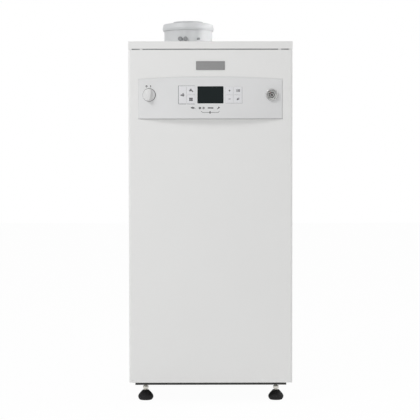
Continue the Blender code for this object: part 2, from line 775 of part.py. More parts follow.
def make_back_panel():
    half = HALF_WIDTH - SHEET - GAP
    bottom = CASING_BOTTOM + SHEET + GAP
    top = COVER_BOTTOM - GAP - SHEET - GAP
    low, high = (-half, BACK - BACK_RETURN, bottom), (half, BACK, top)
    panel = pan("back_panel", low, high, [(0, -1, 0)], SHEET, "galvanised")
    holes = (
        ("flow_hole", BODY_X, FLOW_Z, WATER_PIPE_RADIUS),
        ("return_hole", BODY_X, RETURN_Z, WATER_PIPE_RADIUS),
        ("gas_hole", GAS_PIPE_X, FAN_Z, GAS_PIPE_RADIUS),
        ("condensate_hole", SIPHON_X, TRAY_TOP + SIPHON_OUTLET_RISE, SIPHON_OUTLET_RADIUS),
    )
    for name, x, z, radius in holes:
        start, end = (x, BACK - BACK_RETURN, z), (x, BACK + OVERRUN, z)
        cut(panel, tool_from(rod(start, end, radius + RUNNING_GAP, name), name))


def make_top_cover():
    low, high = (-HALF_WIDTH, FRONT, COVER_BOTTOM), (HALF_WIDTH, BACK, CASING_HEIGHT)
    cover = pan("top_cover", low, high, [(0, 0, -1)], SHEET, "white_powder_coat")
    start, end = (FLUE_X, FLUE_Y, COVER_BOTTOM), (FLUE_X, FLUE_Y, CASING_HEIGHT + OVERRUN)
    hole = rod(start, end, COLLAR_RADIUS - COLLAR_WALL, "flue_hole", 40)
    cut(cover, tool_from(hole, "flue_hole"))


def make_front_panel():
    """One folded panel in two solids, which meet level with the fascia's lower edge."""
    def front_side_fold(edge):
        middle = (edge.verts[0].co + edge.verts[1].co) / 2
        return abs(middle.y - FRONT) < MERGE and abs(abs(middle.x) - HALF_WIDTH) < MERGE

    def top_corner(edge):
        middle = (edge.verts[0].co + edge.verts[1].co) / 2
        across = abs((edge.verts[1].co - edge.verts[0].co).normalized().y) > 0.9
        return across and middle.z > FASCIA_BASE

    seam = FASCIA_BASE - PANEL_CLEARANCE
    side_fold = (front_side_fold, PANEL_EDGE_RADIUS, 5)
    low, high = (-HALF_WIDTH, FRONT, CASING_BOTTOM), (HALF_WIDTH, FRONT + PANEL_RETURN, seam)
    pan("front_panel", low, high, [(0, 1, 0), (0, 0, 1)], SHEET, "white_powder_coat", [side_fold])
    low, high = (-HALF_WIDTH, FRONT, seam + GAP), (HALF_WIDTH, FRONT + PANEL_RETURN, PANEL_TOP)
    folds = [side_fold, (top_corner, PANEL_CORNER_RADIUS, 4)]
    head = pan("front_panel_head", low, high, [(0, 1, 0), (0, 0, -1)], SHEET, "white_powder_coat", folds)
    opening = prism(fascia_opening_outline(FRONT - OVERRUN), (0, PANEL_RETURN, 0), "fascia_opening")
    cut(head, tool_from(opening, "fascia_opening"))


def make_control_fascia():
    """A moulded skin that bulges forward over its lower middle, with a skirt all round."""
    shape = bmesh.new()
    bmesh.ops.create_grid(shape, x_segments=FASCIA_COLUMNS, y_segments=FASCIA_ROWS, size=1)
    for vert in shape.verts:
        x = vert.co.x * FASCIA_HALF
        z = FASCIA_BASE + (vert.co.y + 1) / 2 * (fascia_top(x) - FASCIA_BASE)
        vert.co = (x, FRONT - fascia_reach(x, z), z)
    rim = [edge for edge in shape.edges if edge.is_boundary]
    pushed = bmesh.ops.extrude_edge_only(shape, edges=rim)["geom"]
    for item in pushed:
        if isinstance(item, bmesh.types.BMVert):
            item.co.y = FRONT + FASCIA_SKIRT
    bmesh.ops.recalc_face_normals(shape, faces=shape.faces[:])
    shape.faces.ensure_lookup_table()
    if shape.faces[0].normal.y > 0:
        bmesh.ops.reverse_faces(shape, faces=shape.faces[:])
    fascia = add_part("control_fascia", mesh_from(shape, "control_fascia"), "fascia_plastic")
    solidify(fascia, FASCIA_WALL)
    for name, place in key_places().items():
        cut(fascia, fascia_hole(name + "_hole", *place))
    window = (-DISPLAY_HALF_WIDTH, DISPLAY_HALF_WIDTH)
    heights = (CONTROL_LINE - DISPLAY_HALF_HEIGHT, CONTROL_LINE + DISPLAY_HALF_HEIGHT)
    cut(fascia, fascia_hole("display_hole", *window, *heights))
    for name, x, radius in (("switch", -DIAL_PLACE_X, SWITCH_RADIUS), ("gauge", DIAL_PLACE_X, GAUGE_RADIUS)):
        start = (x, FRONT - KNOB_REACH, CONTROL_LINE)
        end = (x, FRONT + FASCIA_SKIRT, CONTROL_LINE)
        cut(fascia, tool_from(rod(start, end, radius + RUNNING_GAP, name, 32), name + "_hole"))


def make_keys():
    for name, place in key_places().items():
        skin_patch(name, *place, KEY_PROUD, KEY_DEPTH, "key_plastic", 3)


def make_display_window():
    half, rise = DISPLAY_HALF_WIDTH, DISPLAY_HALF_HEIGHT
    low, high = CONTROL_LINE - rise, CONTROL_LINE + rise
    skin_patch("display_window", -half, half, low, high, -WINDOW_SINK, WINDOW_DEPTH, "window_glass")


def make_display_board():
    """The board behind the keys, with the display block and four posts to the fascia."""
    rise = KEY_HALF_HEIGHT + BOARD_MARGIN
    corners = [(x, CONTROL_LINE + z) for x in (MODE_KEY_LEFT, -MODE_KEY_LEFT) for z in (-rise, rise)]
    key_back = FRONT - min(fascia_reach(x, z) for x, z in corners) - KEY_PROUD + KEY_DEPTH
    face = key_back + KEY_TRAVEL + GAP
    low, high = CONTROL_LINE - rise, CONTROL_LINE + rise
    mesh = block((-BOARD_HALF_WIDTH, face, low), (BOARD_HALF_WIDTH, face + BOARD, high), "display_board")
    board = add_part("display_board", mesh, "board_green")
    top = CONTROL_LINE + DISPLAY_HALF_HEIGHT
    lcd_face = FRONT - fascia_reach(DISPLAY_HALF_WIDTH, top) + WINDOW_SINK + WINDOW_DEPTH + GAP
    lcd_low = (LCD_MARGIN - DISPLAY_HALF_WIDTH, lcd_face, CONTROL_LINE - DISPLAY_HALF_HEIGHT + LCD_MARGIN)
    lcd_high = (DISPLAY_HALF_WIDTH - LCD_MARGIN, face + BOARD / 2, top - LCD_MARGIN)
    fuse(board, tool_from(block(lcd_low, lcd_high, "lcd"), "lcd_block"))
    for x in (-BOARD_POST_X, BOARD_POST_X):
        for z in (CONTROL_LINE - BOARD_POST_RISE, CONTROL_LINE + BOARD_POST_RISE):
            start = (x, insert_seat(x, z, BOARD_POST_RADIUS), z)
            post = rod(start, (x, face + BOARD / 2, z), BOARD_POST_RADIUS, "post", 12)
            fuse(board, tool_from(post, "board_post"))


def make_main_switch():
    x, z = -DIAL_PLACE_X, CONTROL_LINE
    seat = insert_seat(x, z, SWITCH_FLANGE_RADIUS)
    back = seat - GAP
    crown = FRONT - SWITCH_CROWN
    edge = FRONT - SWITCH_EDGE
    round_off = SWITCH_CROWN - SWITCH_EDGE
    profile = [
        (0, crown),
        (SWITCH_RADIUS - 2 * round_off, crown + round_off / 8),
        (SWITCH_RADIUS - round_off / 2, crown + round_off / 2),
        (SWITCH_RADIUS, edge + round_off / 2),
        (SWITCH_RADIUS, back),
        (0, back),
    ]
    knob = turned_front("main_switch_knob", profile, "knob_plastic", x, z)
    half = SWITCH_RIDGE_WIDTH / 2
    low = (-half, FRONT - KNOB_REACH, -SWITCH_RIDGE_LENGTH / 2)
    high = (half, edge, SWITCH_RIDGE_LENGTH / 2)
    shape = block_shape(low, high)
    top = [e for e in shape.edges if all(v.co.y < FRONT - SWITCH_CROWN for v in e.verts)]
    round_edges(shape, top, SWITCH_RIDGE_ROUND, 3)
    ridge = tool_from(mesh_from(shape, "ridge"), "switch_ridge")
    ridge.location = (x, 0, z)
    ridge.rotation_euler = (0, SWITCH_LEAN, 0)
    fuse(knob, ridge)
    body = [
        (0, seat),
        (SWITCH_FLANGE_RADIUS, seat),
        (SWITCH_FLANGE_RADIUS, seat + SWITCH_FLANGE),
        (SWITCH_BODY_RADIUS, seat + SWITCH_FLANGE),
        (SWITCH_BODY_RADIUS, seat + SWITCH_BODY_DEPTH),
        (0, seat + SWITCH_BODY_DEPTH),
    ]
    turned_front("main_switch_body", body, "black_plastic", x, z, 16)


def make_pressure_gauge():
    """The bezel and case, the dial on the case floor, the needle and the lens."""
    x, z = DIAL_PLACE_X, CONTROL_LINE
    front = FRONT - GAUGE_REACH
    seat = insert_seat(x, z, SWITCH_FLANGE_RADIUS)
    step = front + GAUGE_LENS_SINK
    dial_back = front + GAUGE_DIAL_DEPTH
    bore = GAUGE_DIAL_RADIUS + GAP
    lens_bore = GAUGE_LENS_RADIUS + GAP
    lip = (GAUGE_RADIUS - lens_bore) / 3
    case = [
        (0, dial_back + GAP),
        (bore, dial_back + GAP),
        (bore, step),
        (lens_bore, step),
        (lens_bore, front + lip),
        (lens_bore + lip, front),
        (GAUGE_RADIUS - lip, front),
        (GAUGE_RADIUS, front + lip),
        (GAUGE_RADIUS, seat),
        (SWITCH_FLANGE_RADIUS, seat),
        (SWITCH_FLANGE_RADIUS, seat + SWITCH_FLANGE),
        (GAUGE_BODY_RADIUS, seat + SWITCH_FLANGE),
        (GAUGE_BODY_RADIUS, front + GAUGE_BODY_DEPTH),
        (0, front + GAUGE_BODY_DEPTH),
    ]
    turned_front("gauge_case", case, "gauge_chrome", x, z, 24)
    dial = [(0, dial_back - GAUGE_DIAL), (GAUGE_DIAL_RADIUS, dial_back - GAUGE_DIAL)]
    dial += [(GAUGE_DIAL_RADIUS, dial_back), (0, dial_back)]
    turned_front("gauge_dial", dial, "dial_enamel", x, z, 24)
    lens_front = step - GAP - GAUGE_LENS
    lens = [(0, lens_front), (GAUGE_LENS_RADIUS, lens_front)]
    lens += [(GAUGE_LENS_RADIUS, step - GAP), (0, step - GAP)]
    turned_front("gauge_lens", lens, "clear_glass", x, z, 24)
    hub_back = dial_back - GAUGE_DIAL - GAP
    hub_front = step
    hub = rod((0, hub_front, 0), (0, hub_back, 0), NEEDLE_HUB_RADIUS, "gauge_needle", 12)
    needle = add_part("gauge_needle", hub, "needle_red", (x, 0, z))
    middle = (hub_front + hub_back) / 2
    low, high = middle - NEEDLE / 2, middle + NEEDLE / 2
    half = NEEDLE_WIDTH / 2
    outline = [(-half, low, -NEEDLE_TAIL), (half, low, -NEEDLE_TAIL)]
    outline += [(half / 3, low, NEEDLE_LENGTH), (-half / 3, low, NEEDLE_LENGTH)]
    blade = tool_from(prism(outline, (0, high - low, 0), "blade"), "needle_blade")
    blade.location = (x, 0, z)
    blade.rotation_euler = (0, NEEDLE_REST, 0)
    fuse(needle, blade)


def make_control_box():
    half = POST_INNER - GAP
    base = FASCIA_BASE + FASCIA_WALL - BOX_SHEET
    low, high = (-half, BOX_FRONT, base), (half, BOX_BACK, base + BOX_HEIGHT)
    pan("control_box", low, high, [(0, -1, 0)], BOX_SHEET, "black_plastic")


def make_circuit_board():
    base = FASCIA_BASE + FASCIA_WALL - BOX_SHEET
    middle = base + BOX_HEIGHT / 2
    wall = BOX_BACK - BOX_SHEET - GAP
    back = wall - PCB_STANDOFF
    low = (-PCB_HALF_WIDTH, back - BOARD, middle - PCB_HALF_HEIGHT)
    high = (PCB_HALF_WIDTH, back, middle + PCB_HALF_HEIGHT)
    board = add_part("circuit_board", block(low, high, "circuit_board"), "board_green")
    inset = 3 * PCB_STANDOFF_RADIUS
    for hand in (-1, 1):
        for way in (-1, 1):
            x, z = hand * (PCB_HALF_WIDTH - inset), middle + way * (PCB_HALF_HEIGHT - inset)
            leg = rod((x, back - BOARD / 2, z), (x, wall, z), PCB_STANDOFF_RADIUS, "leg", 12)
            fuse(board, tool_from(leg, "board_leg"))
    for i in (-1, 0, 1):
        x = i * PCB_BLOCK_WIDTH * 2
        block_low = (x - PCB_BLOCK_WIDTH / 2, back - BOARD / 2 - PCB_BLOCK_DEPTH, middle - PCB_BLOCK_WIDTH / 2)
        block_high = (x + PCB_BLOCK_WIDTH / 2, back - BOARD / 2, middle + PCB_BLOCK_WIDTH / 2)
        fuse(board, tool_from(block(block_low, block_high, "relay"), "relay_block"))


def make_boiler_vessel():
    """Outer shell and inner firebox with the water space between them, open at the nozzles."""
    fire_top = BODY_TOP - FIREBOX_TOP_DROP
    inside = BODY_RADIUS - BODY_SHELL
    profile = [
        (BURNER_DOOR_RADIUS, BODY_TOP),
        (BODY_RADIUS, BODY_TOP),
        (BODY_RADIUS, BODY_BOTTOM),
        (FIREBOX_RADIUS, BODY_BOTTOM),
        (FIREBOX_RADIUS, fire_top),
        (BURNER_DOOR_RADIUS, fire_top),
    ]
    low = BODY_BOTTOM + BODY_PLATE
    wet_top = fire_top + BODY_PLATE
    water = [
        (FIREBOX_RADIUS + BODY_SHELL, low),
        (inside, low),
        (inside, BODY_TOP - BODY_PLATE),
        (BURNER_DOOR_RADIUS + BODY_SHELL, BODY_TOP - BODY_PLATE),
        (BURNER_DOOR_RADIUS + BODY_SHELL, wet_top),
        (FIREBOX_RADIUS + BODY_SHELL, wet_top),
    ]
    vessel = turned_up("boiler_vessel", profile, "boiler_steel", BODY_X, BODY_Y, 26, True, water)
    nozzles = (
        ("flow_nozzle", FLOW_Z, WATER_PIPE_RADIUS, 1),
        ("return_nozzle", RETURN_Z, WATER_PIPE_RADIUS, 1),
        ("drain_nozzle", DRAIN_Z, DRAIN_RADIUS, -1),
    )
    for name, z, radius, way in nozzles:
        start = (BODY_X, BODY_Y + way * (BODY_RADIUS - 2 * radius), z)
        end = (BODY_X, BODY_Y + way * (BODY_RADIUS + OVERRUN), z)
        cut(vessel, tool_from(rod(start, end, radius + GAP, name, 20), name))


def make_insulation_jacket():
    """A foam jacket round the vessel, open down its back for the water pipes."""
    inner = BODY_RADIUS + GAP
    low, high = BODY_BOTTOM + JACKET_MARGIN, BODY_TOP - JACKET_MARGIN
    profile = ring(inner + JACKET, inner, low, high)
    jacket = turned_up("insulation_jacket", profile, "grey_foam", BODY_X, BODY_Y, 26, True)
    slot_low = (BODY_X - JACKET_SLOT, BODY_Y, low - OVERRUN)
    slot_high = (BODY_X + JACKET_SLOT, BODY_BACK + JACKET + OVERRUN, high + OVERRUN)
    cut(jacket, tool_from(block(slot_low, slot_high, "slot"), "jacket_slot"))
    start = (BODY_X, BODY_FRONT - JACKET - OVERRUN, DRAIN_Z)
    end = (BODY_X, BODY_FRONT + JACKET, DRAIN_Z)
    cut(jacket, tool_from(rod(start, end, DRAIN_RADIUS + GAP, "drain", 16), "jacket_drain_hole"))


def make_vessel_stand():
    profile = ring(BODY_RADIUS, STAND_RING_INNER, STAND_TOP - STAND_RING, STAND_TOP)
    stand = turned_up("vessel_stand", profile, "galvanised", BODY_X, BODY_Y, 24, True)
    for hand in (-1, 1):
        for way in (-1, 1):
            x, y = BODY_X + hand * STAND_LEG_PLACE, BODY_Y + way * STAND_LEG_PLACE
            low = (x - STAND_LEG / 2, y - STAND_LEG / 2, TRAY_TOP + GAP)
            high = (x + STAND_LEG / 2, y + STAND_LEG / 2, STAND_TOP - STAND_RING / 2)
            fuse(stand, tool_from(block(low, high, "leg"), "stand_leg"))


def sump_outline(shrink, z):
    """The two circles of the sump joined by their outer tangents, as points at height z."""
    large = BODY_RADIUS + SUMP_BODY_MARGIN - shrink
    small = SUMP_TAIL_RADIUS - shrink
    run = Vector((FLUE_X - BODY_X, FLUE_Y - BODY_Y))
    heading = math.atan2(run.y, run.x)
    lean = math.acos((large - small) / run.length)
    points = []
    for i in range(SUMP_ARC_STEPS + 1):
        angle = heading - lean + 2 * lean * i / SUMP_ARC_STEPS
        points.append((FLUE_X + small * math.cos(angle), FLUE_Y + small * math.sin(angle), z))
    steps = 2 * SUMP_ARC_STEPS
    for i in range(steps + 1):
        angle = heading + lean + (2 * math.pi - 2 * lean) * i / steps
        points.append((BODY_X + large * math.cos(angle), BODY_Y + large * math.sin(angle), z))
    return points


def make_flue_sump():
    """The condensate collector under the vessel, with a socket for the flue riser."""
    outer = prism(sump_outline(0, SUMP_BOTTOM), (0, 0, SUMP_HEIGHT), "flue_sump")
    sump = add_part("flue_sump", outer, "cast_aluminium")
    floor = SUMP_BOTTOM + SUMP_WALL
    inner = prism(sump_outline(SUMP_WALL, floor), (0, 0, SUMP_HEIGHT - 2 * SUMP_WALL), "sump_space")
    cut(sump, tool_from(inner, "sump_space"))
    openings = (
        ("sump_mouth", BODY_X, BODY_Y, FIREBOX_RADIUS, floor + SUMP_WALL, SUMP_TOP + OVERRUN, 28),
        ("riser_mouth", FLUE_X, FLUE_Y, RISER_RADIUS + GAP, floor + SUMP_WALL, SUMP_TOP + OVERRUN, 24),
        ("drain_mouth", SIPHON_X, SIPHON_Y, SIPHON_NECK_RADIUS + GAP, SUMP_BOTTOM - OVERRUN, floor + OVERRUN, 20),
    )
    for name, x, y, radius, low, high, sides in openings:
        cut(sump, tool_from(rod((x, y, low), (x, y, high), radius, name, sides), name))


def make_flue_riser():
    low, high = SUMP_TOP - RISER_SINK, CASING_HEIGHT + RISER_RISE
    profile = ring(RISER_RADIUS, RISER_RADIUS - RISER_WALL, low, high)
    turned_up("flue_riser", profile, "flue_plastic", FLUE_X, FLUE_Y, 24, True)


def make_flue_socket():
    """The inner flue socket, which slides over the top of the riser."""
    low, high = CASING_HEIGHT - SOCKET_BOTTOM_DROP, CASING_HEIGHT + SOCKET_TOP_RISE
    bore = RISER_RADIUS + GAP
    stop = CASING_HEIGHT + RISER_RISE + GAP
    ledge = RISER_RADIUS - RISER_WALL
    profile = [
        (SOCKET_RADIUS - SOCKET_LIP, high),
        (SOCKET_RADIUS, high - SOCKET_LIP),
        (SOCKET_RADIUS, low),
        (bore, low),
        (bore, stop),
        (ledge, stop),
        (ledge, stop + SOCKET_WALL),
        (SOCKET_RADIUS - SOCKET_WALL, stop + 2 * SOCKET_WALL),
        (SOCKET_RADIUS - SOCKET_WALL, high),
    ]
    turned_up("flue_inner_socket", profile, "flue_plastic", FLUE_X, FLUE_Y, 32, True)


def make_flue_collar():
    """The outer collar: a foot ring on the cover, a plain wall and a rounded band on top."""
    base = CASING_HEIGHT + GAP
    band_low, top = CASING_HEIGHT + COLLAR_BAND_LOW, CASING_HEIGHT + COLLAR_RISE
    bore = COLLAR_RADIUS - COLLAR_WALL
    small_round = COLLAR_ROUND / 3
    profile = [
        (bore + small_round, top),
        (COLLAR_BAND_RADIUS - COLLAR_ROUND, top),
        (COLLAR_BAND_RADIUS - small_round, top - small_round),
        (COLLAR_BAND_RADIUS, top - COLLAR_ROUND),
        (COLLAR_BAND_RADIUS, band_low + small_round),
        (COLLAR_BAND_RADIUS - small_round, band_low),
        (COLLAR_RADIUS, band_low),
        (COLLAR_RADIUS, base + COLLAR_FOOT),
        (COLLAR_FOOT_RADIUS, base + COLLAR_FOOT),
        (COLLAR_FOOT_RADIUS, base),
        (bore, base),
        (bore, top - small_round),
    ]
    collar = turned_up("flue_collar", profile, "flue_plastic", FLUE_X, FLUE_Y, 40, True)
    foot = Vector((FLUE_X, FLUE_Y, CASING_HEIGHT + PORT_RISE))
    ports = [(turn, PORT_RADIUS) for turn in PORT_TURNS] + [(SMALL_PORT_TURN, SMALL_PORT_RADIUS)]
    for turn, radius in ports:
        way = Vector((math.sin(turn), -math.cos(turn), 0))
        start = foot + way * (COLLAR_RADIUS - COLLAR_WALL / 2)
        end = foot + way * (COLLAR_RADIUS + PORT_REACH)
        fuse(collar, tool_from(rod(start, end, radius, "port", PORT_SIDES), "test_port"))


def make_burner():
    """A closed cylinder burner that hangs from its flange into the firebox."""
    low = BODY_TOP + GAP
    high = low + BURNER_FLANGE
    bottom = low - BURNER_LENGTH
    bore = BURNER_RADIUS - BURNER_WALL
    profile = [
        (0, bottom + BURNER_WALL),
        (bore, bottom + BURNER_WALL),
        (bore, high),
        (BURNER_FLANGE_RADIUS, high),
        (BURNER_FLANGE_RADIUS, low),
        (BURNER_RADIUS, low),
        (BURNER_RADIUS, bottom),
        (0, bottom),
    ]
    turned_up("burner_tube", profile, "boiler_steel", BODY_X, BODY_Y, 20)


def make_burner_hood():
    low, top = HOOD_BOTTOM, HOOD_TOP
    shoulder = low + HOOD_HEIGHT / 2
    profile = [
        (HOOD_BORE_RADIUS, top),
        (HOOD_NECK_RADIUS, top),
        (HOOD_NECK_RADIUS, top - HOOD_FLANGE),
        (HOOD_BORE_RADIUS + HOOD_WALL, top - HOOD_FLANGE),
        (HOOD_BORE_RADIUS + HOOD_WALL, shoulder + HOOD_WALL),
        (HOOD_DOME_TOP_RADIUS, low + 2 * HOOD_FLANGE),
        (HOOD_DOME_RADIUS, low + HOOD_FLANGE),
        (HOOD_RADIUS, low + HOOD_FLANGE),
        (HOOD_RADIUS, low),
        (HOOD_DOME_TOP_RADIUS - HOOD_WALL, low),
        (HOOD_DOME_TOP_RADIUS - HOOD_WALL, low + HOOD_FLANGE),
        (HOOD_BORE_RADIUS, shoulder),
    ]
    turned_up("burner_hood", profile, "cast_aluminium", BODY_X, BODY_Y, 24, True)


def volute_outline(shrink, drop, y):
    """The fan's spiral and its outlet duct, as points at depth y."""
    sweep = 2 * math.pi + FAN_CUTOFF
    points = []
    for i in range(FAN_STEPS + 1):
        share = i / FAN_STEPS
        angle = FAN_CUTOFF - sweep * share
        radius = FAN_INNER_RADIUS + FAN_GROWTH * share - shrink
        points.append((FAN_X + radius * math.cos(angle), y, FAN_Z + radius * math.sin(angle)))
    outer = FAN_X + FAN_OUTER_RADIUS - shrink
    inner = FAN_X + FAN_THROAT_X + shrink
    points += [(outer, y, FAN_Z - drop), (inner, y, FAN_Z - drop)]
    if shrink:
        points.append((inner, y, FAN_Z + (FAN_INNER_RADIUS - 2 * shrink) * math.sin(FAN_CUTOFF)))
    return points


def make_fan_housing():
    """A spiral housing with its outlet down into the burner hood and its inlet in front."""
    outer = prism(volute_outline(0, FAN_DROP, FAN_FRONT), (0, FAN_DEPTH, 0), "fan_housing")
    housing = add_part("fan_housing", outer, "cast_aluminium")
    inner = volute_outline(FAN_WALL, FAN_DROP + OVERRUN, FAN_FRONT + FAN_WALL)
    cut(housing, tool_from(prism(inner, (0, FAN_DEPTH - 2 * FAN_WALL, 0), "volute"), "volute_space"))
    start, middle = (FAN_X, FAN_FRONT - OVERRUN, FAN_Z), (FAN_X, BODY_Y, FAN_Z)
    end = (FAN_X, FAN_BACK + OVERRUN, FAN_Z)
    cut(housing, tool_from(rod(start, middle, FAN_INLET_RADIUS, "inlet"), "fan_inlet"))
    cut(housing, tool_from(rod(middle, end, FAN_SHAFT_HOLE_RADIUS, "shaft"), "fan_shaft_hole"))


def blade_outline(turn, y):
    """One backward curved blade, as points at depth y round the fan's axis."""
    root = IMPELLER_EYE_RADIUS
    run = IMPELLER_RADIUS - root
    sides = []
    for offset in (-BLADE / 2, BLADE / 2):
        side = []
        for i in range(BLADE_STEPS + 1):
            share = i / BLADE_STEPS
            radius = root + run * share
            angle = turn - BLADE_SWEEP * share + offset / radius
            side.append((radius * math.cos(angle), y, radius * math.sin(angle)))
        sides.append(side)
    return sides[0] + sides[1][::-1]


def make_fan_impeller():
    """A hub and back plate with a ring of backward curved blades."""
    plate_back = FAN_BACK - FAN_WALL - IMPELLER_WALL_GAP
    plate_front = plate_back - IMPELLER_PLATE
    hub_front = plate_back - IMPELLER_HUB_LENGTH
    bore = SHAFT_RADIUS + GAP
    profile = [
        (bore, hub_front),
        (IMPELLER_HUB_RADIUS, hub_front),
        (IMPELLER_HUB_RADIUS, plate_front),
        (IMPELLER_RADIUS, plate_front),
        (IMPELLER_RADIUS, plate_back),
        (bore, plate_back),
    ]
    impeller = turned_front("fan_impeller", profile, "black_plastic", FAN_X, FAN_Z, 24, True)
    blades = bmesh.new()
    start = plate_front - BLADE_WIDTH
    for i in range(BLADE_COUNT):
        outline = blade_outline(2 * math.pi * i / BLADE_COUNT, start)
        face = blades.faces.new([blades.verts.new(point) for point in outline])
        pushed = bmesh.ops.extrude_face_region(blades, geom=[face])["geom"]
        moved = [item for item in pushed if isinstance(item, bmesh.types.BMVert)]
        length = BLADE_WIDTH + IMPELLER_PLATE / 2
        bmesh.ops.translate(blades, verts=moved, vec=Vector((0, length, 0)))
    bmesh.ops.recalc_face_normals(blades, faces=blades.faces[:])
    tool = tool_from(mesh_from(blades, "blades"), "impeller_blades")
    tool.location = (FAN_X, 0, FAN_Z)
    fuse(impeller, tool)


def make_fan_motor():
    front = FAN_BACK + GAP
    tip = FAN_BACK - FAN_WALL - IMPELLER_WALL_GAP - SHAFT_REACH
    profile = [
        (0, tip),
        (SHAFT_RADIUS, tip),
        (SHAFT_RADIUS, front),
        (MOTOR_FLANGE_RADIUS, front),
        (MOTOR_FLANGE_RADIUS, front + MOTOR_FLANGE),
        (MOTOR_RADIUS, front + MOTOR_FLANGE),
        (MOTOR_RADIUS, front + MOTOR_LENGTH - MOTOR_FLANGE),
        (MOTOR_RADIUS - MOTOR_FLANGE, front + MOTOR_LENGTH),
        (0, front + MOTOR_LENGTH),
    ]
    turned_front("fan_motor", profile, "black_plastic", FAN_X, FAN_Z, 20)


def make_venturi():
    """The mixing venturi on the fan's inlet."""
    front, back = VENTURI_FRONT, FAN_FRONT - GAP
    middle = (front + back) / 2
    profile = [
        (VENTURI_BORE_RADIUS, front),
        (VENTURI_RADIUS, front),
        (VENTURI_RADIUS, back),
        (VENTURI_BORE_RADIUS, back),
        (VENTURI_THROAT_RADIUS, middle),
    ]
    turned_front("venturi", profile, "cast_aluminium", FAN_X, FAN_Z, 24, True)


def make_air_intake_pipe():
    """The air snorkel, up from the front of the venturi."""
    start = VENTURI_FRONT - GAP
    corner = start - INTAKE_BEND - INTAKE_WALL
    corners = [(FAN_X, start, FAN_Z), (FAN_X, corner, FAN_Z), (FAN_X, corner, INTAKE_TOP)]
    bent_tube("air_intake_pipe", corners, INTAKE_BEND, INTAKE_RADIUS, INTAKE_WALL, "black_plastic")


def valve_left():
    return FAN_X + VENTURI_RADIUS + GAP


def make_gas_valve():
    """The valve block beside the venturi, with a regulator tower on its top."""
    left = valve_left()
    middle = (VENTURI_FRONT + FAN_FRONT - GAP) / 2
    low = (left, middle - VALVE_DEPTH / 2, FAN_Z - VALVE_HEIGHT / 2)
    high = (left + VALVE_WIDTH, middle + VALVE_DEPTH / 2, FAN_Z + VALVE_HEIGHT / 2)
    valve = add_part("gas_valve", block(low, high, "gas_valve", VALVE_EDGE), "cast_aluminium")
    top = FAN_Z + VALVE_HEIGHT / 2
    for hand in (-1, 1):
        x = left + VALVE_WIDTH / 2 + hand * VALVE_COIL_PLACE
        start, end = (x, middle, top - VALVE_EDGE), (x, middle, top + VALVE_COIL_HEIGHT)
        fuse(valve, tool_from(rod(start, end, VALVE_COIL_RADIUS, "coil", 16), "valve_coil"))


def make_gas_pipe():
    y = (VENTURI_FRONT + FAN_FRONT - GAP) / 2
    end = valve_left() + VALVE_WIDTH + GAP
    corners = [(GAS_PIPE_X, PIPE_END, FAN_Z), (GAS_PIPE_X, y, FAN_Z), (end, y, FAN_Z)]
    bent_tube("gas_pipe", corners, GAS_PIPE_BEND, GAS_PIPE_RADIUS, GAS_PIPE_WALL, "pipe_steel")


def make_water_pipes():
    start = BODY_BACK - BODY_SHELL - WATER_PIPE_SINK
    inner = WATER_PIPE_RADIUS - WATER_PIPE_WALL
    for name, z in (("flow_pipe", FLOW_Z), ("return_pipe", RETURN_Z)):
        profile = ring(WATER_PIPE_RADIUS, inner, PIPE_END, start)
        turned_front(name, profile, "pipe_steel", BODY_X, z, 20, True)


def make_drain_cock():
    """A small ball valve low on the front of the vessel, and its lever."""
    jacket_face = BODY_FRONT - GAP - JACKET
    nut_back = jacket_face - GAP
    nut_front = nut_back - DRAIN_NUT_LENGTH
    tip = jacket_face - DRAIN_REACH
    inside = BODY_FRONT + BODY_SHELL
    profile = [
        (DRAIN_BORE_RADIUS, tip),
        (DRAIN_RADIUS, tip),
        (DRAIN_RADIUS, nut_front),
        (DRAIN_NUT_RADIUS, nut_front),
        (DRAIN_NUT_RADIUS, nut_back),
        (DRAIN_RADIUS, nut_back),
        (DRAIN_RADIUS, inside),
        (DRAIN_BORE_RADIUS, inside),
    ]
    cock = turned_front("drain_cock", profile, "valve_brass", BODY_X, DRAIN_Z, 16, True)
    stem_y = jacket_face - DRAIN_STEM_BACK
    top = DRAIN_Z + DRAIN_BONNET_RISE
    low = (BODY_X, stem_y, DRAIN_Z + (DRAIN_BORE_RADIUS + DRAIN_RADIUS) / 2)
    bonnet = rod(low, (BODY_X, stem_y, top), DRAIN_BONNET_RADIUS, "bonnet", 12)
    fuse(cock, tool_from(bonnet, "drain_bonnet"))
    half = LEVER_WIDTH / 2
    lever_low = (-half, -half, top + GAP)
    lever_high = (LEVER_LENGTH, half, top + GAP + LEVER_THICKNESS)
    mesh = block(lever_low, lever_high, "drain_lever", LEVER_ROUND, 1)
    add_part("drain_lever", mesh, "needle_red", (BODY_X, stem_y, 0))


def make_condensate_siphon():
    """The trap that stands on the tray under the sump's drain, with its rear outlet."""
    base = TRAY_TOP + GAP
    bottom = base + SIPHON_NECK_RADIUS
    shoulder = base + SIPHON_RISE
    profile = [
        (0, bottom),
        (SIPHON_BORE_RADIUS, bottom),
        (SIPHON_BORE_RADIUS, SIPHON_TOP),
        (SIPHON_NECK_RADIUS, SIPHON_TOP),
        (SIPHON_NECK_RADIUS, shoulder),
        (SIPHON_RADIUS, shoulder - SIPHON_SHOULDER),
        (SIPHON_RADIUS, base),
        (0, base),
    ]
    siphon = turned_up("condensate_siphon", profile, "siphon_plastic", SIPHON_X, SIPHON_Y, 20)
    z = TRAY_TOP + SIPHON_OUTLET_RISE
    start = SIPHON_Y + SIPHON_RADIUS / 2
    outlet = rod((SIPHON_X, start, z), (SIPHON_X, PIPE_END, z), SIPHON_OUTLET_RADIUS, "outlet", 16)
    fuse(siphon, tool_from(outlet, "siphon_outlet"))
    bore = rod(
        (SIPHON_X, SIPHON_Y, z),
        (SIPHON_X, PIPE_END + OVERRUN, z),
        SIPHON_OUTLET_RADIUS - SIPHON_OUTLET_WALL,
        "bore",
        16,
    )
    cut(siphon, tool_from(bore, "siphon_outlet_bore"))


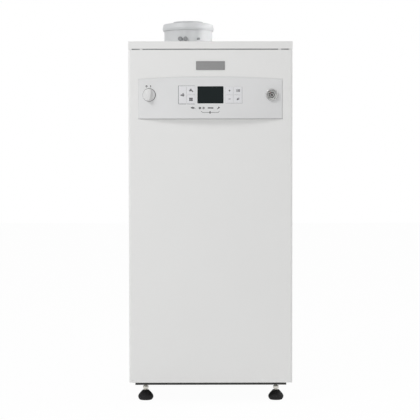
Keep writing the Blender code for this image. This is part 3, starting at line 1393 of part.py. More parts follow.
def main():
    make_base_tray()
    make_foot_pads()
    make_foot_studs()
    make_corner_posts()
    make_top_rails()
    make_side_panels()
    make_back_panel()
    make_top_cover()
    make_front_panel()
    make_control_fascia()
    make_keys()
    make_display_window()
    make_display_board()
    make_main_switch()
    make_pressure_gauge()
    make_control_box()
    make_circuit_board()
    make_boiler_vessel()
    make_insulation_jacket()
    make_vessel_stand()
    make_flue_sump()
    make_flue_riser()
    make_flue_socket()
    make_flue_collar()
    make_burner()
    make_burner_hood()
    make_fan_housing()
    make_fan_impeller()
    make_fan_motor()
    make_venturi()
    make_air_intake_pipe()
    make_gas_valve()
    make_gas_pipe()
    make_water_pipes()
    make_drain_cock()
    make_condensate_siphon()


main()
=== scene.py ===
"""Looks of the floor standing gas boiler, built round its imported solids.

Metres, +Z up, the front towards -Y. Every piece stands where its solid stands.
"""

import json
import math

import bmesh
import bpy
from mathutils import Matrix, Vector


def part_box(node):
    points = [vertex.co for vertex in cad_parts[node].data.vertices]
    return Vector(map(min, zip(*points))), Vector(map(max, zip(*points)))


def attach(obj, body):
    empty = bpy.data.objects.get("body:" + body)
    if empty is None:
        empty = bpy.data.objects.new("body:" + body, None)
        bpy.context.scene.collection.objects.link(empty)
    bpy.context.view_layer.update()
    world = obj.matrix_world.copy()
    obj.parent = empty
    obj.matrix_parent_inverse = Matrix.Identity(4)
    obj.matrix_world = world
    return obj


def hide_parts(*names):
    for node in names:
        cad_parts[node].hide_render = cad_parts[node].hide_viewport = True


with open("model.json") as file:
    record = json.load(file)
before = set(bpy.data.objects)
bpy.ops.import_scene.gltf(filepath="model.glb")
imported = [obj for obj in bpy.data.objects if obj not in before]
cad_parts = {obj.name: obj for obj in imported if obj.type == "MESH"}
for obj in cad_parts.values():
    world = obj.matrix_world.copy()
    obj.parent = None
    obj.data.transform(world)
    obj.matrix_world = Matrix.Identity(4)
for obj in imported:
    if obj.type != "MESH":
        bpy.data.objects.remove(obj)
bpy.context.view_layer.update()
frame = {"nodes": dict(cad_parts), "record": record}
BODY_OF = {node: body for body, nodes in frame["record"]["behaviour"]["bodies"].items() for node in nodes}

# Materials by name, because the frame has its own under some of the same names
FINISHES = {}

# Camera, fitted to the edges of the casing, the feet and the flue
CAMERA_PLACE = (-0.01, -5.3235, 0.882)
CAMERA_PITCH = math.radians(2.403)
CAMERA_YAW = math.radians(-0.09)
CAMERA_ROLL = math.radians(0.08)
CAMERA_LENS = 123.3
SENSOR_WIDTH = 36

# Studio
WORLD_STRENGTH = 0.5
WHITE = (1, 1, 1, 1)
FLOOR_HALF = 12
FLOOR_GLOW = 0.97
FLOOR_GREY = (0.9, 0.9, 0.9, 1)
FLOOR_ROUGHNESS = 0.9

# Making
MERGE = 0.000002
FLAT_ANGLE = math.radians(0.2)
SHARP_ANGLE = math.radians(35)
ALIGNED = 0.99
TURN_STEPS = 96
ARC_STEPS = 6
SHEET_EDGE = 0.0005
PLASTIC_EDGE = 0.0006
CAST_EDGE = 0.0015
TRIM_EDGE = 0.0002
EDGE_STEPS = 2
FIT_GAP = 0.0003
X, Y, Z = Vector((1, 0, 0)), Vector((0, 1, 0)), Vector((0, 0, 1))

# Casing
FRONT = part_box("front_panel")[0].y
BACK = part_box("back_panel")[1].y
COVER_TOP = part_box("top_cover")[1].z
SCREW_RADIUS = 0.0042
SCREW_HEIGHT = 0.0024
SCREW_SIDES = 24
SCREW_RECESS_SHARE = 0.55
SCREW_RECESS_TAPER = SCREW_RADIUS / 20
BACK_SCREW_INSET = 0.012
BACK_SCREW_ROWS = 5
BACK_SCREW_INNER = 0.09
COVER_SCREWS = (-0.24, 0, 0.24)
COVER_SCREW_DROP = 0.013
PANEL_HEM = 0.002
PANEL_LIFT = 0.006
SEAM_OVERLAP = 0.0006
PANEL_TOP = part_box("front_panel_head")[1].z
COVER_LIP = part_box("top_cover")[0].z
CORNER_PAD_SPAN = (0.2722, 0.2838)
PEG_SPAN = (0.235, 0.245)
PAD_BACK = 0.0195
PAD_FRONT = 0.001

# Badge plate
BADGE_HALF_WIDTH = 0.05
BADGE_HALF_HEIGHT = 0.015
BADGE_CENTRE_Z = 1.173
BADGE_THICKNESS = 0.0016
BADGE_CORNER = 0.0015
BADGE_STEP = 0.0003
BADGE_SINK = 0.0004

# Control fascia
FASCIA_LOW, FASCIA_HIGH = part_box("control_fascia")
FASCIA_HALF = FASCIA_HIGH.x
FASCIA_BASE = FASCIA_LOW.z
FASCIA_BACK = FASCIA_HIGH.y
FASCIA_ARCH = 0.009
FASCIA_END_RISE = FASCIA_HIGH.z - FASCIA_BASE - FASCIA_ARCH
FASCIA_EDGE = 0.002
FASCIA_BULGE = FRONT - FASCIA_LOW.y - FASCIA_EDGE
FASCIA_SIDE_POWER = 2.5
FASCIA_RISE_POWER = 1.6
FASCIA_WALL = 0.0025
FASCIA_RIM = 0.0012
FASCIA_COLUMNS = 120
FASCIA_ROWS = 40
HOLE_GAP = 0.00018
HOLE_CORNER = 0.0022
ARCH_TRIM_HEIGHT = 0.0048
ARCH_TRIM_LAP = 0.0003
ARCH_TRIM_INSET = 0.0004
ARCH_TRIM_SINK = 0.0001
ARCH_TRIM_DEPTH = 0.0015
SIDE_TRIM_WIDTH = 0.00085
SIDE_TRIM_START = 0.002

# Keys, display and prints
KEY_PROUD = 0.0003
KEY_DEPTH = 0.004
KEY_CORNER = 0.002
KEY_EDGE = 0.00025
OUTLINE_GAP = 0.0012
WINDOW_SINK = 0.0003
WINDOW_DEPTH = 0.0025
LCD_MARGIN = (0.0065, 0, 0.00325)
LCD_PROUD = 0.00008
CUT_SPACING = 0.008
MARK_LIFT = 0.0001
MARK_LINE = 0.0018
FINE_LINE = 0.001
STROKE_JOIN = 0.6
SWITCH_MARKS_Z = 1.1015
ROW_Z = 1.0258
BRACKET_Z = 1.0105

# Main switch
KNOB_LOW, KNOB_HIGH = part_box("main_switch_knob")
KNOB_RADIUS = (KNOB_HIGH.x - KNOB_LOW.x) / 2
KNOB_CENTRE = (KNOB_LOW + KNOB_HIGH) / 2
KNOB_CROWN = 0.0125
KNOB_EDGE = 0.0085
KNOB_ROUND = 0.0022
RIDGE_HALF_WIDTH = 0.008
RIDGE_HALF_LENGTH = 0.0199
RIDGE_ROUND = 0.004
RIDGE_CUTS = 12
RIDGE_TAPER = 0.45
RIDGE_LEAN = math.radians(9.5)
# The dark ring round the switch is painted shadow of its recess, widest on the upper right; the gauge's
# hairline is painted shade shaped the same way
SURROUND_WIDTH = 0.0018
HAIRLINE_WIDTH = SURROUND_WIDTH / 4
SURROUND_PROUD = 0.0002
SHADOW_THIN_SHARE = 0.32
SHADOW_WIDE_SIDE = Vector((0.87, 0, 0.5))

# Pressure gauge
GAUGE_LOW, GAUGE_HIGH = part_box("gauge_case")
GAUGE_CENTRE = (GAUGE_LOW + GAUGE_HIGH) / 2
GAUGE_RADIUS = 0.021
GAUGE_LENS_RADIUS = 0.0183
GAUGE_LENS_SINK = 0.003
GAUGE_BEZEL_ROUND = 0.001
GAUGE_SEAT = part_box("main_switch_body")[0].y
GAUGE_FLANGE = 0.003
GAUGE_BODY_RADIUS = 0.019
LENS_FLAT_SHARE = 0.6
LENS_CROWN = 0.0003
DIAL_TICK_RADIUS = 0.015
DIAL_SWEEP = math.radians(270)
DIAL_TICKS = 16
LONG_TICK_EVERY = 4
LONG_TICK = (0.0034, 0.0007)
SHORT_TICK = (0.0018, 0.0004)
DIAL_RINGS = (
    ("dial_bright_ring", 0.0034, 0.007, "dial_pale"),
    ("dial_dark_ring", 0.0072, 0.01, "dial_dark"),
)
HUB_RADIUS = 0.0033
HUB_EDGE = 0.0001

# Flue
COLLAR_LOW, COLLAR_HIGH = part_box("flue_collar")
SOCKET_LOW, SOCKET_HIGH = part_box("flue_inner_socket")
FLUE_X = (SOCKET_LOW.x + SOCKET_HIGH.x) / 2
FLUE_Y = (SOCKET_LOW.y + SOCKET_HIGH.y) / 2
SOCKET_RADIUS = (SOCKET_HIGH.x - SOCKET_LOW.x) / 2
SOCKET_WALL = 0.003
SOCKET_ROUND = 0.0008
RISER_WALL = 0.002
COLLAR_RADIUS = 0.0905
COLLAR_WALL = 0.005
COLLAR_BAND_RADIUS = (COLLAR_HIGH.x - COLLAR_LOW.x) / 2
COLLAR_BAND_LOW = 0.072
COLLAR_ROUND = 0.005
COLLAR_LIP_ROUND = 0.0016
COLLAR_NECK_ROUND = 0.0006
COLLAR_STEPS = 160
BAND_TOP_DRAFT = 0.0035
BAND_LOW_DRAFT = 0.0025
BAND_WAIST = 0.009
BAND_WAIST_ROUND = 0.003
COLLAR_FOOT_RADIUS = 0.0935
COLLAR_FOOT = 0.006
COLLAR_FOOT_ROUND = 0.0012
PORT_RISE = 0.038
PORTS = ((-17, 0.0085), (-5, 0.0085), (24, 0.005))
PORT_REACH = 0.012
PORT_CAP = 0.009
PORT_STUB_SHARE = 0.96
PORT_CAP_TIP_SHARE = 0.92
PORT_CAP_SIDES = 24
PORT_CAP_ROUND_SHARE = 1 / 12
SEAL_RADIUS = 0.0016
SEAL_SIDES = 12
COLLAR_SEAL_DROP = 0.014
SOCKET_SEAL_DROP = 0.012

# Feet
PAD_RADIUS = 0.027
PAD_TOP_RADIUS = 0.0115
PAD_RIM_HEIGHT = 0.011
PAD_RIM_TUCK = 0.0055
PAD_RIM_SHARES = (0.25, 0.5, 0.75, 1)
PAD_SOCKET_RADIUS = 0.0063
PAD_SOCKET_FLOOR = 0.012
PAD_FLARE_POWER = 1.12
PAD_STEPS = 16
PAD_TURN_STEPS = 64
STUD_TURN_STEPS = 32
STUD_RADIUS = 0.006
STUD_PITCH = 0.00175
STUD_THREAD = 0.0007
NUT_ACROSS = 0.019
NUT_LOW = 0.0385
NUT_HEIGHT = 0.0095
NUT_EDGE = 0.0007

CORNERS = ("front_left", "front_right", "rear_left", "rear_right")

# Lamps: the place, the aim, the disk's size, the power and the spread of each
OPEN = math.pi
LAMPS = {
    "key": ((-2.6, -2.6, 3.8), (0, 0, 0.8), 1.7, 74.5, OPEN),
    "front": ((-1.2, -4.2, 0.7), (0, 0, 0.3), 2.2, 12.5, OPEN),
    "side": ((2.9, 0.15, 2.2), (0, 0, 1.3), 1.0, 24, OPEN),
    "collar": ((2.3, 0.05, 1.55), (FLUE_X, FLUE_Y, COLLAR_HIGH.z), 0.35, 0.21, math.radians(16)),
}


class Wire:
    """A node's output, on which plain arithmetic adds Math nodes."""

    def __init__(self, finish, socket):
        self.finish = finish
        self.socket = socket

    def maths(self, operation, *values):
        return self.finish.node("ShaderNodeMath", {"operation": operation}, dict(enumerate(values)))

    def __add__(self, other):
        return self.maths("ADD", self, other)

    def __mul__(self, other):
        return self.maths("MULTIPLY", self, other)

    def __gt__(self, other):
        return self.maths("GREATER_THAN", self, other)

    __radd__ = __add__
    __rmul__ = __mul__


class Finish:
    """A Principled material, or the world, to which nodes are added one at a time."""

    def __init__(self, owner):
        owner.use_nodes = True
        self.owner = owner
        self.tree = owner.node_tree
        self.shader = self.tree.nodes.get("Principled BSDF")

    def node(self, kind, settings, values, output=0):
        """Adds a node, with its settings first, then the values or links of its sockets."""
        made = self.tree.nodes.new(kind)
        for name, value in settings.items():
            setattr(made, name, value)
        for key, value in values.items():
            self.feed(made.inputs[key], value)
        return Wire(self, made.outputs[output])

    def feed(self, socket, value):
        if isinstance(value, Wire):
            self.tree.links.new(value.socket, socket)
        else:
            socket.default_value = value

    def set(self, **values):
        """Feeds the shader: base_color=... is its Base Color socket."""
        for name, value in values.items():
            self.feed(self.shader.inputs[name.replace("_", " ").title()], value)

    def place(self, stretch=(1, 1, 1)):
        spot = self.node("ShaderNodeTexCoord", {}, {}, "Object")
        if stretch == (1, 1, 1):
            return spot
        return self.node("ShaderNodeMapping", {}, {"Vector": spot, "Scale": stretch})

    def noise(self, scale, detail=2, stretch=(1, 1, 1)):
        values = {"Vector": self.place(stretch), "Scale": scale, "Detail": detail}
        return self.node("ShaderNodeTexNoise", {}, values)

    def cells(self, scale, output="Color", feature="F1"):
        values = {"Vector": self.place(), "Scale": scale}
        return self.node("ShaderNodeTexVoronoi", {"feature": feature}, values, output)

    def mix(self, share, one, other):
        """Colour one where share is 0, and the other where it is 1."""
        one = one if isinstance(one, Wire) else (*one, 1)
        other = other if isinstance(other, Wire) else (*other, 1)
        return self.node("ShaderNodeMix", {"data_type": "RGBA"}, {0: share, 6: one, 7: other}, 2)

    def vary(self, share, colour, low, high):
        """Feeds a base colour that goes from low to high times this colour."""
        one, other = (tuple(channel * by for channel in colour) for by in (low, high))
        self.set(base_color=self.mix(share, one, other))

    def sheen(self, share, roughness, swing):
        """Feeds a roughness that swings by half of swing above and below its middle."""
        self.set(roughness=share * swing + (roughness - swing / 2))

    def bump(self, height, distance, strength):
        values = {"Height": height, "Distance": distance, "Strength": strength}
        self.set(normal=self.node("ShaderNodeBump", {}, values))


def finish_of(name, colour, roughness, metallic=0.0):
    finish = Finish(bpy.data.materials.new(name))
    FINISHES[name] = finish.owner
    finish.set(base_color=(*colour, 1), roughness=roughness, metallic=metallic)
    return finish


def powder_coat(name, colour, roughness=0.40):
    """Fine textured powder coat: an orange peel, and a slight unevenness of sheen."""
    finish = finish_of(name, colour, roughness)
    clouds = finish.noise(4, 3)
    finish.vary(clouds, colour, 0.985, 1.01)
    finish.sheen(clouds, roughness, 0.08)
    finish.bump(finish.noise(1300, 3), 0.00010, 0.30)


def moulded(name, colour, roughness):
    """Moulded plastic with an eroded satin grain."""
    finish = finish_of(name, colour, roughness)
    grains = finish.noise(2400, 2)
    drift = finish.noise(14, 2)
    finish.vary(drift, colour, 0.97, 1.02)
    finish.sheen(grains, roughness, 0.10)
    finish.bump(grains, 0.00004, 0.4)


def galvanised(name, colour):
    """Zinc spangle: angular cells that differ in tone and gloss."""
    finish = finish_of(name, colour, 0.42, 0.85)
    spangle = finish.cells(140)
    fine = finish.noise(900, 3)
    tone = finish.node("ShaderNodeRGBToBW", {}, {0: spangle})
    finish.vary(tone, colour, 0.86, 1.12)
    finish.set(roughness=tone * 0.16 + fine * 0.08 + 0.28)


def brushed(name, colour, roughness, stretch, scale=900):
    """Metal with fine lines drawn along one axis."""
    finish = finish_of(name, colour, roughness, 0.95)
    lines = finish.noise(scale, 3, stretch)
    finish.vary(lines, colour, 0.88, 1.1)
    finish.sheen(lines, roughness, 0.18)
    finish.bump(lines, 0.00003, 0.35)


def cast(name, colour, roughness):
    """Sand cast metal: a coarse skin over slow stains."""
    finish = finish_of(name, colour, roughness, 0.80)
    skin = finish.noise(700, 4)
    stains = finish.noise(25, 3)
    finish.vary(stains, colour, 0.82, 1.08)
    finish.sheen(skin, roughness, 0.20)
    finish.bump(skin, 0.0004, 0.5)


def plated(name, colour, roughness):
    """Plated steel with slightly warm, uneven patches."""
    finish = finish_of(name, colour, roughness, 0.90)
    patches = finish.noise(260, 3)
    dull = [channel * 0.85 for channel in colour]
    warm = [channel * by for channel, by in zip(colour, (1.08, 1.04, 0.94))]
    finish.set(base_color=finish.mix(patches, dull, warm))
    finish.sheen(patches, roughness, 0.20)


def rubber(name, colour):
    """Dull rubber with a little dust."""
    finish = finish_of(name, colour, 0.70)
    dust = finish.noise(180, 4)
    finish.vary(dust, colour, 1, 1.7)
    finish.set(roughness=dust * 0.2 + 0.6)
    finish.feed(finish.shader.inputs["Specular IOR Level"], 0.25)
    finish.bump(finish.noise(1500, 2), 0.0001, 0.5)


def foam(name, colour):
    """Open faced insulation with pores and a slow mottle."""
    finish = finish_of(name, colour, 0.92)
    pores = finish.cells(420, "Distance")
    mottle = finish.noise(30, 4)
    finish.vary(mottle, colour, 0.75, 1.2)
    finish.bump(pores, 0.0012, 0.8)


def circuit(name, colour):
    """Solder mask with a paler net of tracks under it."""
    finish = finish_of(name, colour, 0.35)
    tracks = finish.cells(170, "Distance", "DISTANCE_TO_EDGE") > 0.06
    finish.vary(tracks, colour, 1.9, 1)
    finish.bump(tracks, 0.00005, 0.5)


def clear(name, colour):
    """A clear pane with a faint smear."""
    finish = finish_of(name, colour, 0.05)
    smear = finish.noise(120, 2)
    finish.set(roughness=smear * 0.04 + 0.02, alpha=smear * 0.04 + 0.08)


def gloss(name, colour, roughness, shine):
    """Dark glass with fine dust."""
    finish = finish_of(name, colour, roughness)
    dust = finish.noise(600, 3)
    finish.set(roughness=dust * 0.06 + roughness)
    finish.feed(finish.shader.inputs["Specular IOR Level"], shine)


def paint(name, colour, roughness=0.38):
    """Paint and ink with a slight grain; it also gives the painted shade round the keys, the gauge and
    the switch.
    """
    finish = finish_of(name, colour, roughness)
    finish.sheen(finish.noise(300, 3), roughness, 0.14)
    finish.bump(finish.noise(1800, 2), 0.00006, 0.3)


def grey(level):
    return level, level, level


def make_finishes():
    powder_coat("white_coat", (0.832, 0.832, 0.824))
    # Near black for the base tray that shows under the panels
    powder_coat("base_paint", (0.025, 0.025, 0.0235), 0.55)
    moulded("fascia_plastic", (0.76, 0.763, 0.766), 0.44)
    moulded("key_plastic", (0.78, 0.78, 0.8), 0.46)
    moulded("knob_plastic", grey(0.75), 0.36)
    moulded("black_plastic", (0.02, 0.02, 0.021), 0.48)
    moulded("flue_plastic", (0.635, 0.645, 0.655), 0.42)
    moulded("siphon_plastic", (0.3, 0.3, 0.31), 0.40)
    moulded("port_cap", (0.275, 0.282, 0.29), 0.45)
    rubber("foot_rubber", (0.012, 0.012, 0.0125))
    rubber("seal_rubber", (0.045, 0.047, 0.05))
    galvanised("galvanised_steel", (0.55, 0.57, 0.58))
    plated("zinc", (0.74, 0.74, 0.73), 0.42)
    brushed("boiler_steel", (0.55, 0.55, 0.54), 0.34, (1, 1, 0.03))
    brushed("pipe_steel", grey(0.42), 0.40, (1, 1, 0.05))
    brushed("badge_steel", grey(0.246), 0.34, (0.02, 1, 1), 1600)
    brushed("gauge_chrome", (0.54, 0.54, 0.535), 0.30, (1, 1, 1), 700)
    brushed("valve_brass", (0.72, 0.52, 0.22), 0.30, (1, 1, 1), 500)
    cast("cast_aluminium", (0.6, 0.6, 0.59), 0.48)
    foam("insulation_foam", (0.2, 0.2, 0.21))
    circuit("circuit_board", (0.03, 0.16, 0.06))
    gloss("display_glass", (0.0112, 0.0166, 0.0176), 0.10, 0.085)
    gloss("lcd_glass", (0.0122, 0.0176, 0.0184), 0.16, 0.085)
    clear("gauge_glass", (0.22, 0.23, 0.23))
    paint("gauge_dial", (0.86, 0.865, 0.845), 0.45)
    paint("dial_pale", (0.8, 0.8, 0.79), 0.45)
    paint("dial_dark", grey(0.02), 0.45)
    paint("needle_paint", (0.3, 0.02, 0.015))
    paint("lever_paint", (0.6, 0.03, 0.02))
    paint("grey_ink", (0.03, 0.031, 0.034), 0.55)
    # The next two are painted shade: lines round the keys and the hairline round the gauge
    paint("pale_painted_shade", (0.27, 0.27, 0.285), 0.50)
    paint("faint_painted_shade", (0.48, 0.48, 0.495), 0.50)
    # Painted shadow: the dark ring round the switch
    paint("painted_shadow_dark", (0.035, 0.035, 0.037), 0.50)


def add_object(name, data):
    made = bpy.data.objects.new(name, data)
    bpy.context.scene.collection.objects.link(made)
    return made


def loose(name, shape):
    """Adds a plain object of this shape, and frees the bmesh."""
    mesh = bpy.data.meshes.new(name)
    shape.to_mesh(mesh)
    shape.free()
    return add_object(name, mesh)


def piece(name, shape, finish, body, stands_for=(), edge=0):
    """Finishes a bmesh as a piece that rides on body, with soft edges if edge is given."""
    made = loose(name, shape)
    made.data.shade_smooth()
    made.data.set_sharp_from_angle(angle=SHARP_ANGLE)
    made.data.materials.append(FINISHES[finish])
    if edge:
        soften(made, edge)
    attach(made, body)
    if stands_for:
        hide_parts(*stands_for)
    return made


def soften(made, edge):
    bevel = made.modifiers.new("Edges", "BEVEL")
    bevel.width = edge
    bevel.segments = EDGE_STEPS
    bevel.profile = 0.5
    bevel.limit_method = "ANGLE"
    bevel.angle_limit = SHARP_ANGLE
    weighted = made.modifiers.new("Normals", "WEIGHTED_NORMAL")
    weighted.keep_sharp = True


def combine(made, other, operation):
    """Cuts other out of an object, or joins it on, and keeps the result as the object's mesh."""
    both = made.modifiers.new("Both", "BOOLEAN")
    both.object = other
    both.operation = operation
    both.solver = "EXACT"
    graph = bpy.context.evaluated_depsgraph_get()
    mesh = bpy.data.meshes.new_from_object(made.evaluated_get(graph))
    made.modifiers.clear()
    made.data = mesh
    bpy.data.objects.remove(other)


def shape_of(mesh):
    """A mesh's shape, with its doubled corners merged."""
    shape = bmesh.new()
    shape.from_mesh(mesh)
    bmesh.ops.remove_doubles(shape, verts=shape.verts[:], dist=MERGE)
    return shape


def join_flat_faces(shape):
    bmesh.ops.dissolve_limit(shape, angle_limit=FLAT_ANGLE, verts=shape.verts[:], edges=shape.edges[:])


def refined(node, finish, edge=SHEET_EDGE, hem=False):
    """A piece with its solid's own shape, merged, smooth where round, and with soft edges."""
    shape = shape_of(frame["nodes"][node].data)
    if hem:
        raise_hem(shape)
    join_flat_faces(shape)
    piece(node + "_skin", shape, finish, BODY_OF[node], [node], edge)


def add_slab(shape, low, high):
    """Adds a block between two corners, and returns its vertices."""
    low, high = Vector(low), Vector(high)
    place = Matrix.Translation((low + high) / 2) @ Matrix.Diagonal((*(high - low), 1))
    return bmesh.ops.create_cube(shape, size=1, matrix=place)["verts"]


def add_pair(shape, near, far, low, high):
    """Adds the same block on the left and the right, between near and far from the middle."""
    for side in (-1, 1):
        left, right = sorted((side * near, side * far))
        add_slab(shape, (left, *low), (right, *high))


def add_rod(shape, start, end, radius, sides=32, tip_radius=None):
    """Adds a cylinder or a cone from start to end, and returns its vertices."""
    start, end = Vector(start), Vector(end)
    run = end - start
    place = Matrix.Translation((start + end) / 2) @ run.to_track_quat("Z", "Y").to_matrix().to_4x4()
    tip = radius if tip_radius is None else tip_radius
    made = bmesh.ops.create_cone(
        shape, cap_ends=True, segments=sides, radius1=radius, radius2=tip, depth=run.length, matrix=place
    )
    return made["verts"]


def add_bar(shape, middle, angle, size):
    """Adds a block of this size, turned by an angle about Y."""
    place = Matrix.Translation(middle) @ Matrix.Rotation(-angle, 4, "Y") @ Matrix.Diagonal((*size, 1))
    bmesh.ops.create_cube(shape, size=1, matrix=place)


def edges_of(verts, axis=None):
    """The edges among these vertices, or only those that run along axis."""
    inside = set(verts)
    found = dict.fromkeys(e for v in verts for e in v.link_edges if set(e.verts) <= inside)
    if axis is None:
        return list(found)
    return [e for e in found if abs((e.verts[1].co - e.verts[0].co).normalized().dot(axis)) > ALIGNED]


def verts_in(geom):
    return [item for item in geom if isinstance(item, bmesh.types.BMVert)]


def round_off(shape, edges, radius, segments=3):
    bmesh.ops.bevel(
        shape, geom=edges, offset=radius, segments=segments, profile=0.5, affect="EDGES", material=-1
    )


def rounded(corners):
    """Points of a profile whose corners are (radius, height, fillet)."""
    points = []
    for i, (radius, height, fillet) in enumerate(corners):
        corner = Vector((radius, height))
        if not fillet:
            points.append(corner)
            continue
        before = (Vector(corners[i - 1][:2]) - corner).normalized()
        after = (Vector(corners[(i + 1) % len(corners)][:2]) - corner).normalized()
        half = before.angle(after) / 2
        reach = fillet / math.tan(half)
        centre = corner + (before + after).normalized() * (fillet / math.sin(half))
        start, end = corner + before * reach - centre, corner + after * reach - centre
        for step in range(ARC_STEPS + 1):
            spoke = start.copy()
            spoke.rotate(Matrix.Rotation(-start.angle_signed(end) * step / ARC_STEPS, 2))
            points.append(centre + spoke)
    return points


def band(inner, outer, start, end):
    """The profile of a ring between two radii and two places along its axis."""
    return [(inner, start), (outer, start), (outer, end), (inner, end)]


def turned(points, centre, axis, closed=True, steps=TURN_STEPS):
    """A profile of (radius, place along the axis) turned full circle."""
    shape = bmesh.new()
    centre = Vector(centre)
    base = centre - axis * centre.dot(axis)
    verts = [shape.verts.new(base + X * radius + axis * along) for radius, along in points]
    ends = verts[1:] + verts[:1] if closed else verts[1:]
    edges = [shape.edges.new(pair) for pair in zip(verts, ends)]
    bmesh.ops.spin(
        shape, geom=verts + edges, cent=base, axis=axis, angle=2 * math.pi, steps=steps, use_merge=True
    )
    bmesh.ops.remove_doubles(shape, verts=shape.verts[:], dist=MERGE)
    bmesh.ops.recalc_face_normals(shape, faces=shape.faces[:])
    return shape


def thread(low, high):
    """The zigzag outer line of a stud's thread, from high to low."""
    count = int((high - low) / STUD_PITCH)
    root = STUD_RADIUS - STUD_THREAD
    points = []
    for i in range(count):
        top = high - i * STUD_PITCH
        points += [(root, top), (STUD_RADIUS, top - STUD_PITCH / 2)]
    return points + [(root, high - count * STUD_PITCH), (root, low)]


def screw_heads(name, places):
    """Button head screws with a round recess, on the casing's back."""
    shape = bmesh.new()
    for x, z in places:
        start, tip = (x, BACK - SCREW_HEIGHT, z), (x, BACK + SCREW_HEIGHT, z)
        verts = add_rod(shape, start, tip, SCREW_RADIUS, SCREW_SIDES)
        face = max((f for v in verts for f in v.link_faces), key=lambda f: f.normal.y)
        rim = list(face.edges)
        step = SCREW_RADIUS * (1 - SCREW_RECESS_SHARE)
        bmesh.ops.inset_region(shape, faces=[face], thickness=step, depth=0)
        bmesh.ops.inset_region(shape, faces=[face], thickness=SCREW_RECESS_TAPER, depth=-SCREW_HEIGHT)
        round_off(shape, rim, SCREW_HEIGHT / 2)
    piece(name, shape, "zinc", "casing")


def fascia_top(x):
    """Height of the fascia's arched top edge at x."""
    return FASCIA_BASE + FASCIA_END_RISE + FASCIA_ARCH * (1 - (x / FASCIA_HALF) ** 2)


def fascia_reach(x, z):
    """How far the fascia's skin stands in front of the front panel at x, z."""
    across = 1 - min(abs(x / FASCIA_HALF), 1) ** FASCIA_SIDE_POWER
    up = min(max((z - FASCIA_BASE) / (fascia_top(x) - FASCIA_BASE), 0), 1)
    return FASCIA_EDGE + FASCIA_BULGE * across * (1 - up**FASCIA_RISE_POWER)


def cut_across(shape, spot, axis):
    """Adds an edge loop where the plane through spot crosses the shape."""
    geom = shape.verts[:] + shape.edges[:] + shape.faces[:]
    bmesh.ops.bisect_plane(shape, geom=geom, dist=MERGE, plane_co=spot, plane_no=axis)


def drape(shape):
    """Lays a shape, made round y = 0, on the fascia's skin."""
    for axis in (X, Z):
        places = [vert.co.dot(axis) for vert in shape.verts]
        low, high = min(places), max(places)
        cuts = int((high - low) / CUT_SPACING)
        for i in range(1, cuts + 1):
            cut_across(shape, axis * (low + (high - low) * i / (cuts + 1)), axis)
    for vert in shape.verts:
        vert.co.y += FRONT - fascia_reach(vert.co.x, vert.co.z)
    return shape


def key_nodes():
    return [node for node in frame["nodes"] if node.endswith("_key")]


def hole_cutter():
    """One cutter for the keys, the display, the switch and the gauge."""
    shape = bmesh.new()
    front = FASCIA_LOW.y - FASCIA_WALL
    for node in [*key_nodes(), "display_window"]:
        low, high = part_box(node)
        corner_low = (low.x - HOLE_GAP, front, low.z - HOLE_GAP)
        verts = add_slab(shape, corner_low, (high.x + HOLE_GAP, FASCIA_BACK, high.z + HOLE_GAP))
        round_off(shape, edges_of(verts, Y), HOLE_CORNER)
    for centre, radius in ((KNOB_CENTRE, KNOB_RADIUS), (GAUGE_CENTRE, GAUGE_RADIUS)):
        start, end = (centre.x, front, centre.z), (centre.x, FASCIA_BACK, centre.z)
        add_rod(shape, start, end, radius + HOLE_GAP, TURN_STEPS)
    return loose("fascia_holes", shape)


def make_fascia():
    """The moulded skin, bulging over its lower middle, with a rounded rim and its holes."""
    shape = bmesh.new()
    bmesh.ops.create_grid(shape, x_segments=FASCIA_COLUMNS, y_segments=FASCIA_ROWS, size=1)
    for vert in shape.verts:
        x = vert.co.x * FASCIA_HALF
        z = FASCIA_BASE + (vert.co.y + 1) / 2 * (fascia_top(x) - FASCIA_BASE)
        vert.co = (x, FRONT - fascia_reach(x, z), z)
    rim = [edge for edge in shape.edges if edge.is_boundary]
    for vert in verts_in(bmesh.ops.extrude_edge_only(shape, edges=rim)["geom"]):
        vert.co.y = FASCIA_BACK
    bmesh.ops.recalc_face_normals(shape, faces=shape.faces[:])
    shape.faces.ensure_lookup_table()
    if shape.faces[0].normal.y > 0:
        bmesh.ops.reverse_faces(shape, faces=shape.faces[:])
    round_off(shape, rim, FASCIA_RIM)
    made = piece("fascia_moulding", shape, "fascia_plastic", "control_unit", ["control_fascia"])
    wall = made.modifiers.new("Wall", "SOLIDIFY")
    wall.thickness = FASCIA_WALL
    wall.offset = -1
    combine(made, hole_cutter(), "DIFFERENCE")
    made.data.set_sharp_from_angle(angle=SHARP_ANGLE)


def make_arch_trim():
    """A strip on the fascia that fills the gap over its arch and beside it, flush with the panel."""
    shape = bmesh.new()
    bmesh.ops.create_grid(shape, x_segments=FASCIA_COLUMNS, y_segments=1, size=1)
    for vert in shape.verts:
        x = vert.co.x * (FASCIA_HALF - ARCH_TRIM_INSET)
        z = fascia_top(x) + (ARCH_TRIM_HEIGHT if vert.co.y > 0 else -ARCH_TRIM_LAP)
        vert.co = (x, FRONT + ARCH_TRIM_SINK, z)
    for vert in verts_in(bmesh.ops.extrude_face_region(shape, geom=shape.faces[:])["geom"]):
        vert.co.y += ARCH_TRIM_DEPTH
    low = (FRONT + ARCH_TRIM_SINK, FASCIA_BASE + SIDE_TRIM_START)
    top = fascia_top(FASCIA_HALF) + ARCH_TRIM_HEIGHT - ARCH_TRIM_LAP
    high = (FRONT + ARCH_TRIM_SINK + ARCH_TRIM_DEPTH, top)
    add_pair(shape, FASCIA_HALF - ARCH_TRIM_LAP, FASCIA_HALF + SIDE_TRIM_WIDTH, low, high)
    bmesh.ops.recalc_face_normals(shape, faces=shape.faces[:])
    piece("fascia_arch_trim", shape, "fascia_plastic", "control_unit", (), TRIM_EDGE)


